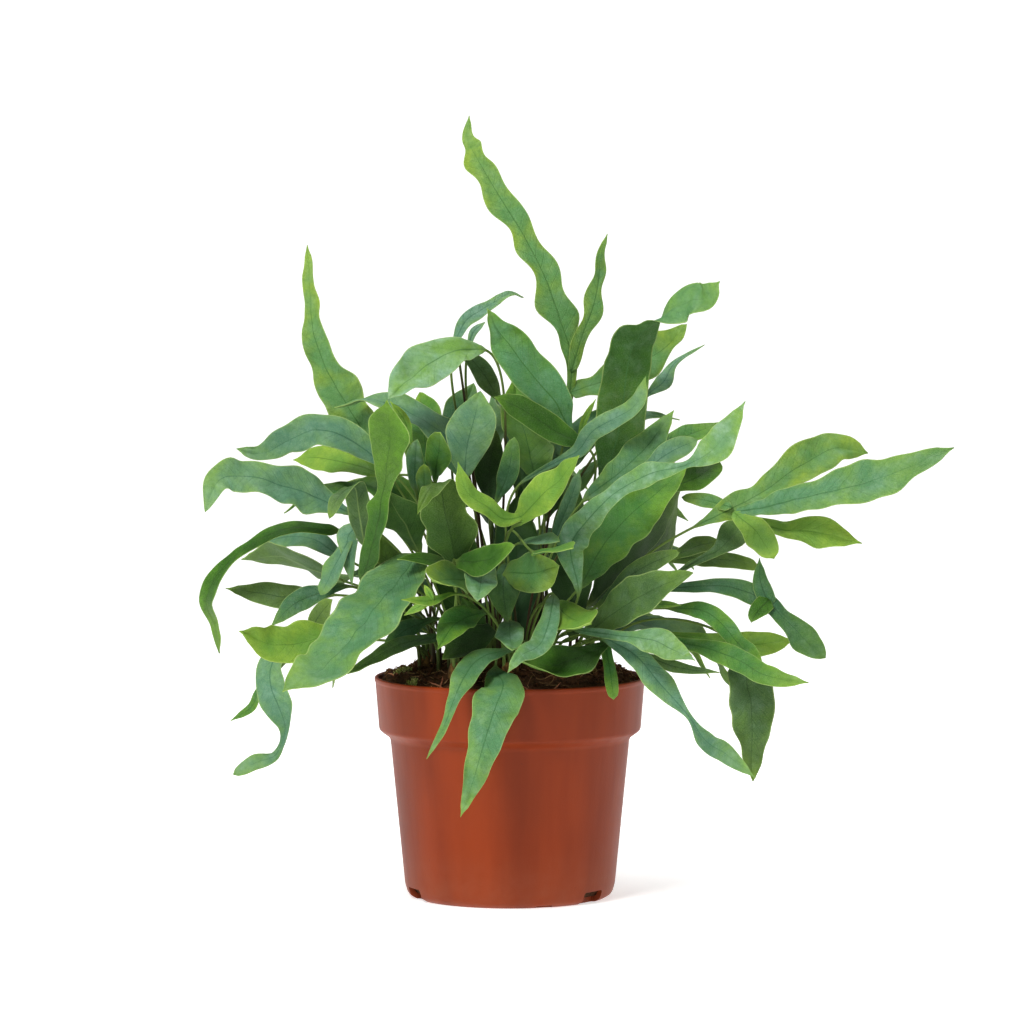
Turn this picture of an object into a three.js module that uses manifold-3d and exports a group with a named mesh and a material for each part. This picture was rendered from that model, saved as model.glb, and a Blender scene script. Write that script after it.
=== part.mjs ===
// Potted fern: a plain nursery pot, its soil, and a dense tuft of blue-green strap-shaped fronds
// with waved edges, some of them lobed. Millimetres, +Z up. The origin is the centre of the pot's
// flat underside, and the side that the fern shows best faces -Y.

import * as THREE from 'three';
import Module from 'manifold-3d';

const wasm = await Module();
wasm.setup();

// ---------------------------------------------------------------------------------------------
// Driving dimensions
// ---------------------------------------------------------------------------------------------

// Pot
const RIM_RADIUS = 60;
const POT_HEIGHT = 98;
const BAND_HEIGHT = 23.5;
const BAND_RADIUS = 58;
const SHOULDER_DROP = 3.5;
const SHOULDER_RADIUS = 53.1;
const CORNER_HEIGHT = 6;
const CORNER_RADIUS = 46.7;
const FOOT_RADIUS = 42.5;
const FOOT_BEVEL = [2.9, 1.6];
const WALL = 1.6;
const WALL_STEP = 1;
const FLOOR = 2.4;
const RIM_ROUND = 0.5;
const POT_SIDES = 40;
const NOTCH_ANGLES = [-37, 83, 203];
const NOTCH_WIDTH = 8.5;
const NOTCH_HEIGHT = 5;
const NOTCH_DEPTH = 6.2;

// Soil
const GAP = 0.3;
const SOIL_EDGE_HEIGHT = 95.5;
const SOIL_MIDDLE_HEIGHT = 104;
const SOIL_TILT = 1.8;
const SOIL_SIDES = 20;
const SOIL_RINGS = [0.9, 0.78, 0.62, 0.44, 0.24];
const LUMP_HEIGHT = 1.3;
const LUMP_WAVES = [[1, 0.2, 0.06], [0.6, 0.12, 0.31], [0.5, -0.33, 0.17]];

// Stalks
const STALK = 1.4;
const ROOT_DEPTH = 12;
const ROOT_TOP = 107.5;
const ROOT_REACH = 0.42;
const ROOT_LIMIT = 45;
const LEAD_LIMIT = 22;
const LONG_STALK = 45;
const STALK_END = 3;
const CROWN_RADIUS = 2.6;
const CROWN_TOP_RADIUS = 1.6;
const CROWN_SHOULDER = 2;
const CROWN_SIDES = 6;
const STALK_RING = 1.5;
const ROOT_SPACING = 1.2;
const ROOT_FOOT = SOIL_MIDDLE_HEIGHT - ROOT_DEPTH;
const HOLE_TOP = ROOT_TOP + 4;

// Blades
const BLADE_THICKNESS = 0.75;
const BLADE_TIP = 0.8;
const SEGMENT = 12;
const FEWEST_SEGMENTS = 3;
const MOST_SEGMENTS = 11;
const RIBBED_WIDTH = 12;
const EDGE_WAVE = 0.1;
const WAVE_LENGTH = 36;
const EDGE_LAG = 2.1;
const WAVE_FADE = 5;
const REACH_EASE = 1.2;
const CHANNEL = 0.16;
const TANGENT_STEP = 0.01;

// How much wider than it looks a blade may be made where it is seen at a slant
const LEAST_SPREAD = 0.3;
const LEAST_SLANT = 0.45;

// Distance kept between the solids of two nodes, and the steps tried to keep it
const CLEARANCE = 0.45;
const DEPTH_STEPS = [0, 2, 4, 6, 8, 11, 14, 18, 22, 26, 30].flatMap((d) => (d ? [-d, d] : [d]));
const ROOT_TRIES = 1000;
const ROOT_STEP = 1.3;
const GOLDEN_ANGLE = 2.399963;
const BENDS = [
  [0.45, 0.35], [0.3, 0.35], [0.6, 0.35], [0.2, 0.5], [0.45, 0.1], [0.8, 0.2], [0.15, 0.15], [0.7, 0.6],
  [0.3, 0.8], [0.9, 0.4], [0.05, 0.6], [0.25, 0.2], [0.5, 0.55], [1.1, 0.15], [0.35, 0.6], [0.1, 0.9],
  [0.75, 0.05], [0.55, 0.75],
];

// The point that the fern is best seen from
const EYE = new THREE.Vector3(0.9, -2500, 348);

// ---------------------------------------------------------------------------------------------
// Finishes
// ---------------------------------------------------------------------------------------------

const finish = (color, roughness) => () => new THREE.MeshStandardMaterial({ color, roughness, metalness: 0 });
const FINISHES = {
  pot: finish('#96452a', 0.45),
  soil: finish('#3d2a1c', 1),
  blue: finish('#7ba08a', 0.6),
  green: finish('#6b9746', 0.55),
  dark: finish('#3f6630', 0.55),
  young: finish('#84aa50', 0.5),
  grey: finish('#708a66', 0.7),
};

// ---------------------------------------------------------------------------------------------
// Solids from meshes
// ---------------------------------------------------------------------------------------------

function solidFromIndexed(points, triangles) {
  const vertProperties = new Float32Array(points.flatMap((p) => [p.x, p.y, p.z]));
  const volume = triangles.reduce((sum, [a, b, c]) => {
    const cross = new THREE.Vector3().crossVectors(points[b], points[c]);
    return sum + points[a].dot(cross);
  }, 0);
  const outward = volume > 0 ? triangles : triangles.map(([a, b, c]) => [a, c, b]);
  const triVerts = new Uint32Array(outward.flat());
  return new wasm.Manifold(new wasm.Mesh({ numProp: 3, vertProperties, triVerts }));
}

function solidFromBox(box) {
  const corner = new Map();
  const points = [];
  const position = box.getAttribute('position');
  const merged = Array.from({ length: position.count }, (_, i) => {
    const p = new THREE.Vector3().fromBufferAttribute(position, i);
    const key = p.toArray().map((v) => v.toFixed(4)).join();
    if (!corner.has(key)) corner.set(key, points.push(p) - 1);
    return corner.get(key);
  });
  const index = Array.from(box.getIndex().array, (i) => merged[i]);
  const triangles = [];
  for (let i = 0; i < index.length; i += 3) triangles.push(index.slice(i, i + 3));
  return solidFromIndexed(points, triangles);
}

function namedMesh(name, solid, colour) {
  const { vertProperties, triVerts } = solid.getMesh();
  const geometry = new THREE.BufferGeometry();
  geometry.setAttribute('position', new THREE.BufferAttribute(new Float32Array(vertProperties), 3));
  geometry.setIndex(new THREE.BufferAttribute(new Uint32Array(triVerts), 1));
  geometry.computeVertexNormals();
  const mesh = new THREE.Mesh(geometry, FINISHES[colour]());
  mesh.name = name;
  return mesh;
}

// Rings of equal count, joined side to side, with flat fans at both ends.
function stackedRings(rings) {
  const points = rings.flat();
  const triangles = [];
  const count = rings[0].length;
  rings.slice(1).forEach((_, k) => {
    for (let i = 0; i < count; i++) {
      const a = k * count + i;
      const b = k * count + ((i + 1) % count);
      triangles.push([a, b, b + count], [a, b + count, a + count]);
    }
  });
  [rings[0], rings[rings.length - 1]].forEach((ring, end) => {
    const middle = ring.reduce((sum, p) => sum.add(p), new THREE.Vector3()).divideScalar(count);
    const hub = points.push(middle) - 1;
    const first = end * (rings.length - 1) * count;
    for (let i = 0; i < count; i++) {
      const edge = [first + i, first + ((i + 1) % count)];
      triangles.push(end ? [...edge, hub] : [edge[1], edge[0], hub]);
    }
  });
  return solidFromIndexed(points, triangles);
}

function levelRing(radius, sides, height, centre = { x: 0, y: 0 }, turn = 0) {
  return Array.from({ length: sides }, (_, i) => {
    const angle = (2 * Math.PI * i) / sides + turn;
    const x = centre.x + radius * Math.cos(angle);
    const y = centre.y + radius * Math.sin(angle);
    return new THREE.Vector3(x, y, height);
  });
}

// ---------------------------------------------------------------------------------------------
// Pot
// ---------------------------------------------------------------------------------------------

function potOutline() {
  const band = POT_HEIGHT - BAND_HEIGHT;
  const shoulder = band - SHOULDER_DROP;
  const outside = [
    [FOOT_RADIUS, 0],
    [FOOT_RADIUS + FOOT_BEVEL[0], FOOT_BEVEL[1]],
    [CORNER_RADIUS, CORNER_HEIGHT],
    [SHOULDER_RADIUS, shoulder],
    [BAND_RADIUS, band],
    [RIM_RADIUS, POT_HEIGHT - RIM_ROUND],
    [RIM_RADIUS - RIM_ROUND, POT_HEIGHT],
  ];
  const inside = [
    [RIM_RADIUS - WALL, POT_HEIGHT],
    [BAND_RADIUS - WALL, band + WALL_STEP],
    [SHOULDER_RADIUS - WALL, shoulder + WALL_STEP],
    [CORNER_RADIUS - WALL, CORNER_HEIGHT],
    [FOOT_RADIUS, FLOOR],
  ];
  return { outside, inside };
}

function makePot() {
  const { outside, inside } = potOutline();
  const rings = [...outside, ...inside].map(([radius, z]) => levelRing(radius, POT_SIDES, z));
  let pot = stackedRings(rings);
  NOTCH_ANGLES.forEach((degrees) => {
    const angle = THREE.MathUtils.degToRad(degrees);
    const length = 2 * NOTCH_DEPTH;
    const box = new THREE.BoxGeometry(length, NOTCH_WIDTH, 2 * NOTCH_HEIGHT);
    box.translate(CORNER_RADIUS, 0, 0);
    box.rotateZ(angle);
    pot = pot.subtract(solidFromBox(box));
  });
  return pot;
}

// ---------------------------------------------------------------------------------------------
// Soil
// ---------------------------------------------------------------------------------------------

function soilHeight(x, y) {
  const reach = Math.hypot(x, y) / RIM_RADIUS;
  const mound = (SOIL_MIDDLE_HEIGHT - SOIL_EDGE_HEIGHT) * (1 - reach ** 4);
  const tilt = (SOIL_TILT * y) / RIM_RADIUS;
  const wave = ([size, kx, ky], i) => size * Math.sin(kx * x + ky * y + i);
  const lumps = LUMP_WAVES.map(wave).reduce((sum, height) => sum + height);
  return SOIL_EDGE_HEIGHT + mound + tilt + LUMP_HEIGHT * lumps * (1 - reach ** 4);
}

function makeSoil() {
  const { inside } = potOutline();
  const wall = inside.slice(1).reverse();
  const lift = (i) => (i === 0 ? GAP : GAP / 2);
  const rings = wall.map(([radius, z], i) => levelRing(radius - GAP, SOIL_SIDES, z + lift(i)));
  const flare = (RIM_RADIUS - BAND_RADIUS) / BAND_HEIGHT;
  const topRadius = BAND_RADIUS + flare * (SOIL_EDGE_HEIGHT - POT_HEIGHT + BAND_HEIGHT) - WALL - 2 * GAP;
  const lay = (ring) => ring.map((p) => p.setZ(soilHeight(p.x, p.y)));
  rings.push(lay(levelRing(topRadius, SOIL_SIDES, 0)));
  SOIL_RINGS.forEach((share) => rings.push(lay(levelRing(topRadius * share, SOIL_SIDES, 0))));
  return stackedRings(rings);
}

// ---------------------------------------------------------------------------------------------
// Curves
// ---------------------------------------------------------------------------------------------

const cubic = (a, b, c, d, f) =>
  b + 0.5 * f * (c - a + f * (2 * a - 5 * b + 4 * c - d + f * (3 * (b - c) + d - a)));

// A smooth run through equally spaced rows of numbers, for t from 0 to 1.
function smooth(rows, t) {
  const last = rows.length - 1;
  const u = THREE.MathUtils.clamp(t, 0, 1) * last;
  const i = Math.min(Math.floor(u), last - 1);
  const beyond = (end, next) => end.map((value, k) => 2 * value - next[k]);
  const before = i > 0 ? rows[i - 1] : beyond(rows[0], rows[1]);
  const after = i + 2 <= last ? rows[i + 2] : beyond(rows[last], rows[last - 1]);
  return rows[i].map((value, k) => cubic(before[k], value, rows[i + 1][k], after[k], u - i));
}

// Straight steps between equally spaced rows of numbers.
function stepped(rows, t) {
  const last = rows.length - 1;
  const u = THREE.MathUtils.clamp(t, 0, 1) * last;
  const i = Math.min(Math.floor(u), Math.max(last - 1, 0));
  const next = rows[Math.min(i + 1, last)];
  return rows[i].map((value, k) => value + (next[k] - value) * (u - i));
}

const vector = (row) => new THREE.Vector3(...row);

// The place at depth y that is seen at x, z of the upright plane through the pot's axis.
function seen([x, z, y], shift) {
  const depth = y + shift;
  const scale = (depth - EYE.y) / -EYE.y;
  return new THREE.Vector3(EYE.x + (x - EYE.x) * scale, depth, EYE.z + (z - EYE.z) * scale);
}

// ---------------------------------------------------------------------------------------------
// Fronds
// ---------------------------------------------------------------------------------------------

// One cross-section of a frond: left edge, middle and right edge, each with a top and a bottom.
function section({ place, along, face, half, thickness, rise = [0, 0], channel = 0, middle }) {
  const across = new THREE.Vector3().crossVectors(along, face);
  const at = (sideways, up) => place.clone().addScaledVector(across, sideways).addScaledVector(face, up);
  const edge = (sideways, up) => [at(sideways, up + thickness / 2), at(sideways, up - thickness / 2)];
  const columns = [edge(-half, rise[0]), edge(half, rise[1])];
  if (middle) columns.splice(1, 0, edge(0, -channel));
  return columns;
}

// Joins the cross-sections. Both faces of the blade are split along the same diagonals.
function sweep(stations, grow = 0) {
  const points = [];
  const triangles = [];
  const sections = stations.map((station) => {
    const grown = { ...station, half: station.half + grow, thickness: station.thickness + 2 * grow };
    return section(grown).map((column) => column.map((p) => points.push(p) - 1));
  });
  const bothFaces = (a, b, c) => triangles.push([a[0], b[0], c[0]], [a[1], c[1], b[1]]);
  const sideWall = (a, b, flip) => {
    const [p, q] = flip ? [b, a] : [a, b];
    triangles.push([p[0], p[1], q[1]], [p[0], q[1], q[0]]);
  };
  for (let k = 0; k + 1 < sections.length; k++) {
    const here = sections[k];
    const next = sections[k + 1];
    if (here.length < next.length) {
      bothFaces(here[0], next[1], next[0]);
      bothFaces(here[0], here[1], next[1]);
      bothFaces(here[1], next[2], next[1]);
    } else {
      for (let i = 0; i + 1 < here.length; i++) {
        bothFaces(here[i], here[i + 1], next[i + 1]);
        bothFaces(here[i], next[i + 1], next[i]);
      }
    }
    sideWall(here[0], next[0], true);
    sideWall(here.at(-1), next.at(-1), false);
  }
  [sections[0], sections.at(-1)].forEach((cap, end) => {
    for (let i = 0; i + 1 < cap.length; i++) sideWall(cap[i], cap[i + 1], end === 1);
  });
  return solidFromIndexed(points, triangles);
}

function bladeLength(blade) {
  return blade.slice(1).reduce((sum, [x, z, y], i) => {
    const [px, pz, py] = blade[i];
    return sum + Math.hypot(x - px, z - pz, y - py);
  }, 0);
}

// The blade's cross-section at t, from 0 at its base to 1 at its tip.
function bladeStation(frond, shift, t) {
  const place = (s) => seen(smooth(frond.blade, s), shift + frond.reach * s ** REACH_EASE);
  const before = place(Math.max(t - TANGENT_STEP, 0));
  const along = place(Math.min(t + TANGENT_STEP, 1)).sub(before).normalize();
  const face = vector(stepped(frond.face, t));
  face.addScaledVector(along, -face.dot(along)).normalize();
  const sight = place(t).sub(EYE).normalize();
  const spread = along.clone().addScaledVector(sight, -along.dot(sight)).length();
  const facing = Math.abs(face.dot(sight)) / Math.max(spread, LEAST_SPREAD);
  const slant = frond.plain ? 1 : Math.max(facing, LEAST_SLANT);
  const half = Math.max(smooth(frond.width.map((w) => [w]), t)[0], BLADE_TIP) / slant / 2;
  const fade = Math.min(1, WAVE_FADE * t, WAVE_FADE * (1 - t));
  const turn = (2 * Math.PI * t * frond.length) / WAVE_LENGTH + frond.phase;
  const height = frond.wave * EDGE_WAVE * frond.broad * fade;
  return {
    place: place(t),
    along,
    face,
    half,
    thickness: BLADE_THICKNESS,
    rise: [height * Math.sin(turn), height * Math.sin(turn + EDGE_LAG)],
    channel: frond.cup * CHANNEL * half,
    middle: frond.ribbed,
  };
}

function bladeStations(frond, shift) {
  const fitting = THREE.MathUtils.clamp(Math.round(frond.length / SEGMENT), FEWEST_SEGMENTS, MOST_SEGMENTS);
  const count = frond.segments ?? fitting;
  return Array.from({ length: count + 1 }, (_, i) => bladeStation(frond, shift, i / count));
}

// The stalk: one easy curve from its root, where it stands upright, to the base of the blade.
function stalkStations(frond, shift, root, [lift, lead]) {
  const base = bladeStation(frond, shift, 0);
  const start = new THREE.Vector3(root.x, root.y, ROOT_TOP - STALK);
  const distance = start.distanceTo(base.place);
  const rise = new THREE.Vector3(0, 0, lift * distance);
  const back = base.along.clone().multiplyScalar(-Math.min(lead * distance, LEAD_LIMIT));
  const curve = new THREE.CubicBezierCurve3(
    start,
    start.clone().add(rise),
    base.place.clone().add(back),
    base.place,
  );
  const count = distance > LONG_STALK ? 4 : 3;
  const end = 1 - Math.min(STALK_END / distance, 0.2);
  const stations = [];
  let ahead = base;
  for (let i = count - 1; i >= 0; i--) {
    const t = (end * i) / (count - 1);
    const along = curve.getTangent(t);
    const bend = new THREE.Quaternion().setFromUnitVectors(ahead.along, along);
    const face = ahead.face.clone().applyQuaternion(bend);
    ahead = { place: curve.getPoint(t), along, face, half: STALK / 2, thickness: STALK };
    stations.unshift(ahead);
  }
  return stations;
}

// ---------------------------------------------------------------------------------------------
// The fronds. Each blade's points are [x, z, y]: where it is seen in the upright plane through the
// pot's axis, and its depth. Widths are as seen, at equal steps from base to tip. Faces say where
// the upper side looks, and reach is how far the tip leans away from the viewpoint.
// ---------------------------------------------------------------------------------------------

const FRONT = [0, -1, 0.15];
const FRONT_UP = [0, -0.85, 0.5];
const UP_FRONT = [0, -0.5, 0.85];
const UP = [0, -0.1, 1];
const BACK_UP = [0, 0.6, 0.8];
const BACK = [0, 1, 0.2];
const LEFT_FRONT = [-0.5, -0.8, 0.35];
const RIGHT_FRONT = [0.5, -0.8, 0.35];

let fronds = 0;
function frond(blade, width, options = {}) {
  const length = Math.hypot(bladeLength(blade), options.reach ?? 0);
  const broad = Math.max(...width);
  fronds += 1;
  return {
    blade,
    width,
    length,
    broad,
    reach: 0,
    face: [FRONT_UP],
    wave: 1,
    cup: 1,
    phase: fronds * GOLDEN_ANGLE,
    plain: false,
    ribbed: broad > RIBBED_WIDTH && !options.plain,
    lobes: [],
    ...options,
  };
}

const PLANT = {
  right_long_blue: ['blue', [
    frond([[30, 139, -50], [27, 156, -50], [35, 168, -49], [46, 179, -49], [62, 188, -48], [78, 192, -48],
      [92, 201, -48], [104, 220, -48]], [4, 13, 11, 8, 9, 4, 13, 1.5],
    { face: [FRONT, FRONT_UP], reach: -28 }),
  ]],
  left_big: ['blue', [
    frond([[-44, 149, -40], [-56, 135, -46], [-69, 119, -50], [-83, 104, -52], [-101, 91, -54]],
      [14, 24, 22, 18, 2], { face: [[-0.4, -0.7, 0.6]], reach: -34 }),
  ]],
  front_over_rim: ['green', [
    frond([[-6, 99, -50], [-3, 93, -63], [-7, 82, -68], [-12, 66, -72], [-17, 49, -74], [-22, 35, -75]],
      [8, 17, 19, 14, 8, 1], { face: [UP_FRONT, [0, -1, 0.4], [0, -1, 0]], cup: -0.6, reach: -12 }),
  ]],
  young_fork: ['young', [
    frond([[4, 168, -56], [12, 177, -58], [22, 186, -60], [30.5, 196, -62]], [6, 13, 11, 1.5], {
      reach: -22,
      lobes: [frond([[6, 169, -56], [-3, 168, -57], [-10, 173, -58], [-19, 180, -58], [-23, 193, -58]],
        [3, 6, 8, 8, 2], { reach: -14 })],
    }),
  ]],
  left_lobed: ['green', [
    frond([[-65, 143, -33], [-61.5, 156, -38], [-58.5, 169, -41], [-56, 181, -42], [-55, 194, -43],
      [-54, 207, -44], [-54.5, 220.5, -46]], [5, 8.5, 9.5, 5, 15, 17, 1.5],
    { face: [LEFT_FRONT], reach: -16 }),
  ]],
  left_tall: ['green', [
    frond([[-60, 198, 5], [-70, 214, 4], [-80, 231, 2], [-87, 250, 0], [-88.5, 270, 0], [-89.5, 289, 2]],
      [3, 18, 15, 9, 6.5, 1], { face: [[-0.5, -0.85, 0.2]], reach: 24 }),
  ]],
  tallest: ['green', [
    frond([[26.5, 222, 22], [27, 240, 22], [22, 257, 22], [16, 273, 22], [8, 290, 22], [0, 303, 22],
      [-8, 316, 22], [-15, 328, 22], [-18.5, 336, 22], [-18, 346, 22]],
    [3, 6, 12, 11, 11, 10, 11.5, 12, 5, 1], {
      face: [[0.4, -0.9, 0.1], [-0.3, -0.9, 0.1]],
      reach: 18,
      lobes: [
        frond([[27, 233, 22], [32, 249, 22], [36.5, 261, 22], [39, 273, 22], [40, 284, 22], [43, 294, 22]],
          [4, 7.5, 8, 6, 4, 1], { face: [[0.3, -0.9, 0.1]], reach: 10 }),
        frond([[26.5, 224, 22], [40, 229, 21], [55, 236, 20], [68, 244, 19], [78, 254, 18]],
          [6, 13, 14, 13, 4], { face: [FRONT_UP], reach: -8 }),
      ],
    }),
  ]],
  top_dark_fold: ['dark', [
    frond([[42, 188, 4], [47, 203, 5], [50, 220, 5], [52, 237, 3], [56, 249, -3], [66, 257, -12],
      [78, 264, -19], [86, 266, -24], [92.5, 273, -28]], [6, 21, 22, 21, 18, 14, 15, 14, 1.5],
    { face: [BACK, BACK, BACK_UP, UP, FRONT_UP, FRONT_UP], cup: 0.5, plain: true, ribbed: true }),
  ]],
  top_arch: ['green', [
    frond([[26, 208, 4], [20, 220, 2], [10, 232, 0], [0, 245, -2], [-6, 253, -3], [-10, 261, -4]],
      [4, 14, 19, 16, 8, 1.5], { face: [[0.3, -1, 0.2]], reach: -10 }),
  ]],
  top_pale: ['blue', [
    frond([[-13, 243, 4], [-24, 243, 0], [-36, 237, -4], [-46, 229, -8], [-54, 221, -10]],
      [4, 14, 18, 14, 2], { reach: -22 }),
  ]],
  right_lobed: ['green', [
    frond([[86, 166.5, -24], [98, 172.5, -24], [113, 181, -25], [130, 193, -26], [145, 200, -26],
      [158.5, 197, -26]], [3, 10, 11, 16, 14, 2], {
      reach: 16,
      lobes: [
        frond([[100, 171, -24], [112, 173, -23], [127, 177, -23], [148, 182, -24], [171, 189, -24],
          [196.5, 199.5, -24]], [3, 8, 11, 16, 15, 2], { reach: -14 }),
        frond([[99, 171, -24], [109, 162, -28], [117, 150.5, -30]], [4, 12, 8], { reach: -16 }),
        frond([[101, 170, -24], [111, 166, -22], [123, 163, -21], [138, 162, -20], [156, 157, -20]],
          [3, 5, 9, 13, 1.5], { reach: -2 }),
        frond([[98, 173, -24], [87, 176, -20], [76, 177.5, -20]], [4, 6, 3], { reach: 8 }),
      ],
    }),
  ]],
  left_long_blue: ['blue', [
    frond([[-74, 172, -18], [-88, 179, -20], [-103, 184, -22], [-118, 187.5, -22], [-129, 185, -20],
      [-135, 171, -18]], [4, 16, 15, 14, 11, 3], { reach: -26 }),
  ]],
  left_upper: ['blue', [
    frond([[-56, 192, -5], [-70, 203, -6], [-85, 208, -8], [-98, 203, -10], [-110, 197, -12],
      [-121, 199, -12]], [3, 13, 15, 12, 8, 2], { reach: -6 }),
    frond([[-58, 188, 8], [-72, 193, 10], [-84, 195, 12], [-96, 194, 13]], [4, 11, 10, 2], { reach: 20 }),
  ]],
  front_dark_curl: ['grey', [
    frond([[-24, 148, -44], [-26, 160, -47], [-29, 173, -49], [-31, 184, -50], [-36, 180, -60],
      [-41, 170, -62]], [6, 22, 20, 12, 6, 2],
    { face: [BACK, BACK, BACK_UP, [-0.2, -0.3, 1], [-0.2, -1, 0.2]], reach: -16, plain: true, ribbed: true }),
  ]],
  right_green: ['green', [
    frond([[33, 141, -36], [42, 156, -35], [54, 170, -34], [66, 180, -33], [79, 193, -32]],
      [6, 20, 21, 14, 2], { face: [RIGHT_FRONT], reach: -16 }),
  ]],
  right_low_waist: ['blue', [
    frond([[44, 114, -48], [56, 107, -52], [67, 94, -54], [79, 80.5, -54], [87, 69, -54], [96, 63, -53],
      [109, 52.5, -52]], [4, 9, 11, 2.5, 8, 8, 1], { face: [FRONT_UP, FRONT], reach: -14 }),
  ]],
  right_hanging: ['grey', [
    frond([[103, 106, -24], [106, 95, -27], [108, 80, -27], [108, 65, -27], [108, 51, -27]],
      [8, 20, 17, 12, 3], { face: [[0.5, -1, 0.4], [0.5, -1, 0]], reach: -8 }),
  ]],
  left_hanging: ['blue', [
    frond([[-96, 116, -16], [-105, 106, -17], [-107, 95, -18], [-103, 84, -18], [-100, 74, -18],
      [-104, 63, -18], [-113, 59.5, -18], [-123, 54, -18]], [4, 10, 13, 12, 5, 4.5, 6, 5],
    { face: [[-0.5, -0.9, 0.3]] }),
  ]],
  left_hook: ['dark', [
    frond([[-80, 163, -2], [-98, 164, -4], [-115, 156, -6], [-128, 146, -6], [-134.5, 132, -6],
      [-131, 120, -6], [-129, 108, -6]], [5, 5, 5, 5, 6, 4, 1],
    { face: [UP_FRONT, [-0.5, -0.5, 0.8], [-0.9, -0.5, 0.1]], reach: 10 }),
  ]],
  left_young: ['young', [
    frond([[-76, 119, -30], [-90, 114, -34], [-105, 112.5, -36], [-120, 118, -36]], [4, 17, 15, 1.5],
      { reach: -24 }),
  ]],
  front_tongue: ['green', [
    frond([[-3, 109, -48], [-14, 106, -56], [-20, 98, -64], [-25, 87, -67], [-30, 74, -68], [-37, 61, -68]],
      [3, 9, 10, 6, 3, 1], { face: [UP_FRONT, [-0.3, -1, 0.4], [-0.3, -1, 0]], reach: -14 }),
  ]],
  front_pair: ['dark', [
    frond([[-2, 147, -42], [-3, 137, -46], [-1, 122, -48]], [4, 15, 3], { face: [FRONT_UP], reach: -4 }),
    frond([[1, 144, -50], [11, 144, -56], [21.5, 147, -59]], [11, 18.5, 7], { face: [FRONT], reach: -12 }),
  ]],
  front_trio: ['green', [
    frond([[20, 160, -22], [24, 170, -23], [28, 180, -23], [31, 190, -22]], [4, 6, 6, 2]),
    frond([[12, 153, -46], [20, 155, -50], [28, 155, -52]], [3, 7, 2], { face: [UP_FRONT], reach: -20 }),
    frond([[8, 158, -42], [15, 159, -44], [22, 158, -44]], [3, 5, 2], { face: [UP_FRONT], reach: -12 }),
  ]],
  front_small: ['blue', [
    frond([[-12, 147, -54], [-13, 140, -60], [-14.5, 131.5, -66]], [10, 14, 4],
      { face: [UP_FRONT], reach: -24 }),
    frond([[-19, 141, -48], [-27, 142, -54], [-34, 141, -58]], [7, 13, 9], { face: [FRONT_UP], reach: -18 }),
    frond([[0, 121, -50], [0, 116, -58], [1, 109.5, -66]], [9, 12, 4], { face: [UP_FRONT], reach: -20 }),
  ]],
  front_low: ['dark', [
    frond([[-8, 119, -36], [-19, 113, -40], [-30, 105.5, -42]], [6, 13, 3], { face: [FRONT_UP], reach: -10 }),
    frond([[-13, 110, -26], [-16, 121, -27], [-21, 133, -28]], [5, 11, 3], { face: [FRONT] }),
  ]],
  right_pale_low: ['blue', [
    frond([[33, 118, -50], [50, 116, -56], [64, 113.5, -58], [74, 109, -60], [82, 105, -60]],
      [3, 5, 12, 8, 1], { reach: -22 }),
  ]],
  right_bent_lobed: ['dark', [
    frond([[70, 137, -16], [85, 138, -16], [100, 137, -16], [114, 131, -18], [122, 123, -20],
      [131, 114, -20], [140, 106, -20]], [3, 6, 8, 8, 8, 12, 5], {
      reach: -8,
      lobes: [
        frond([[115, 129, -22], [111, 140, -22], [110.5, 150.5, -22]], [8, 7, 1], { reach: 6 }),
        frond([[115, 132, -22], [110, 127, -22], [107, 122, -22]], [8, 8, 3], { reach: -8 }),
      ],
    }),
  ]],
  right_far: ['green', [
    frond([[66, 199, -8], [80, 206, -4], [94, 211, -2]], [4, 8, 1.5], { face: [UP_FRONT], reach: 24 }),
    frond([[72, 182, -6], [83, 187, -3], [93, 193, 0]], [5, 12, 6], { reach: 22 }),
  ]],
  right_deep: ['dark', [
    frond([[38, 133, -20], [50, 148, -18], [64, 163, -15], [75, 182, -12]], [6, 20, 22, 5],
      { face: [BACK_UP], reach: 18 }),
  ]],
  top_far: ['blue', [
    frond([[-24, 247, 20], [-19, 256, 22], [-9, 263, 24], [0, 267.5, 24], [6, 266, 24]],
      [3, 6, 5, 3, 1], { face: [UP_FRONT], reach: 30 }),
    frond([[-18, 245, 16], [-16, 251, 17], [-11, 255, 18]], [2, 3.5, 1.5], { reach: 10 }),
  ]],
  core: ['dark', [
    frond([[-20, 120, -12], [-24, 140, -12], [-26, 160, -10], [-27, 180, -8]], [6, 20, 20, 5], { reach: 6 }),
    frond([[4, 118, -20], [3, 138, -20], [3, 158, -18], [3, 178, -16]], [6, 20, 20, 5], { reach: 6 }),
    frond([[28, 118, -8], [27, 138, -6], [27, 160, -4], [28, 186, -2]], [6, 18, 18, 4], { reach: 8 }),
    frond([[-46, 124, -10], [-52, 142, -12], [-57, 160, -12]], [5, 16, 4]),
  ]],
  right_narrow: ['grey', [
    frond([[76, 145, -12], [84, 150, -12], [92, 154, -12], [99, 161, -12], [105, 168, -12]],
      [2, 3, 6, 13, 5], { reach: 14 }),
    frond([[74, 152, -2], [84, 156, 0], [93, 158, 2]], [4, 8, 3], { reach: 20 }),
    frond([[74, 150, 8], [90, 150.5, 10], [110, 147, 12]], [4, 8, 5], { reach: 26 }),
  ]],
  right_grey: ['grey', [
    frond([[34, 117, -42], [48, 128, -46], [63, 137, -48], [81, 144, -48]], [5, 16, 14, 3], { reach: -26 }),
    frond([[42, 132, -34], [54, 143, -35], [66, 150, -35], [75, 153, -34]], [3, 8, 7, 3], { reach: -8 }),
  ]],
  front_right_dark: ['dark', [
    frond([[42, 112, -46], [30, 107, -52], [16, 104, -56], [4, 105, -58]], [3, 13, 13, 2],
      { face: [UP_FRONT], reach: -18 }),
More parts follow.
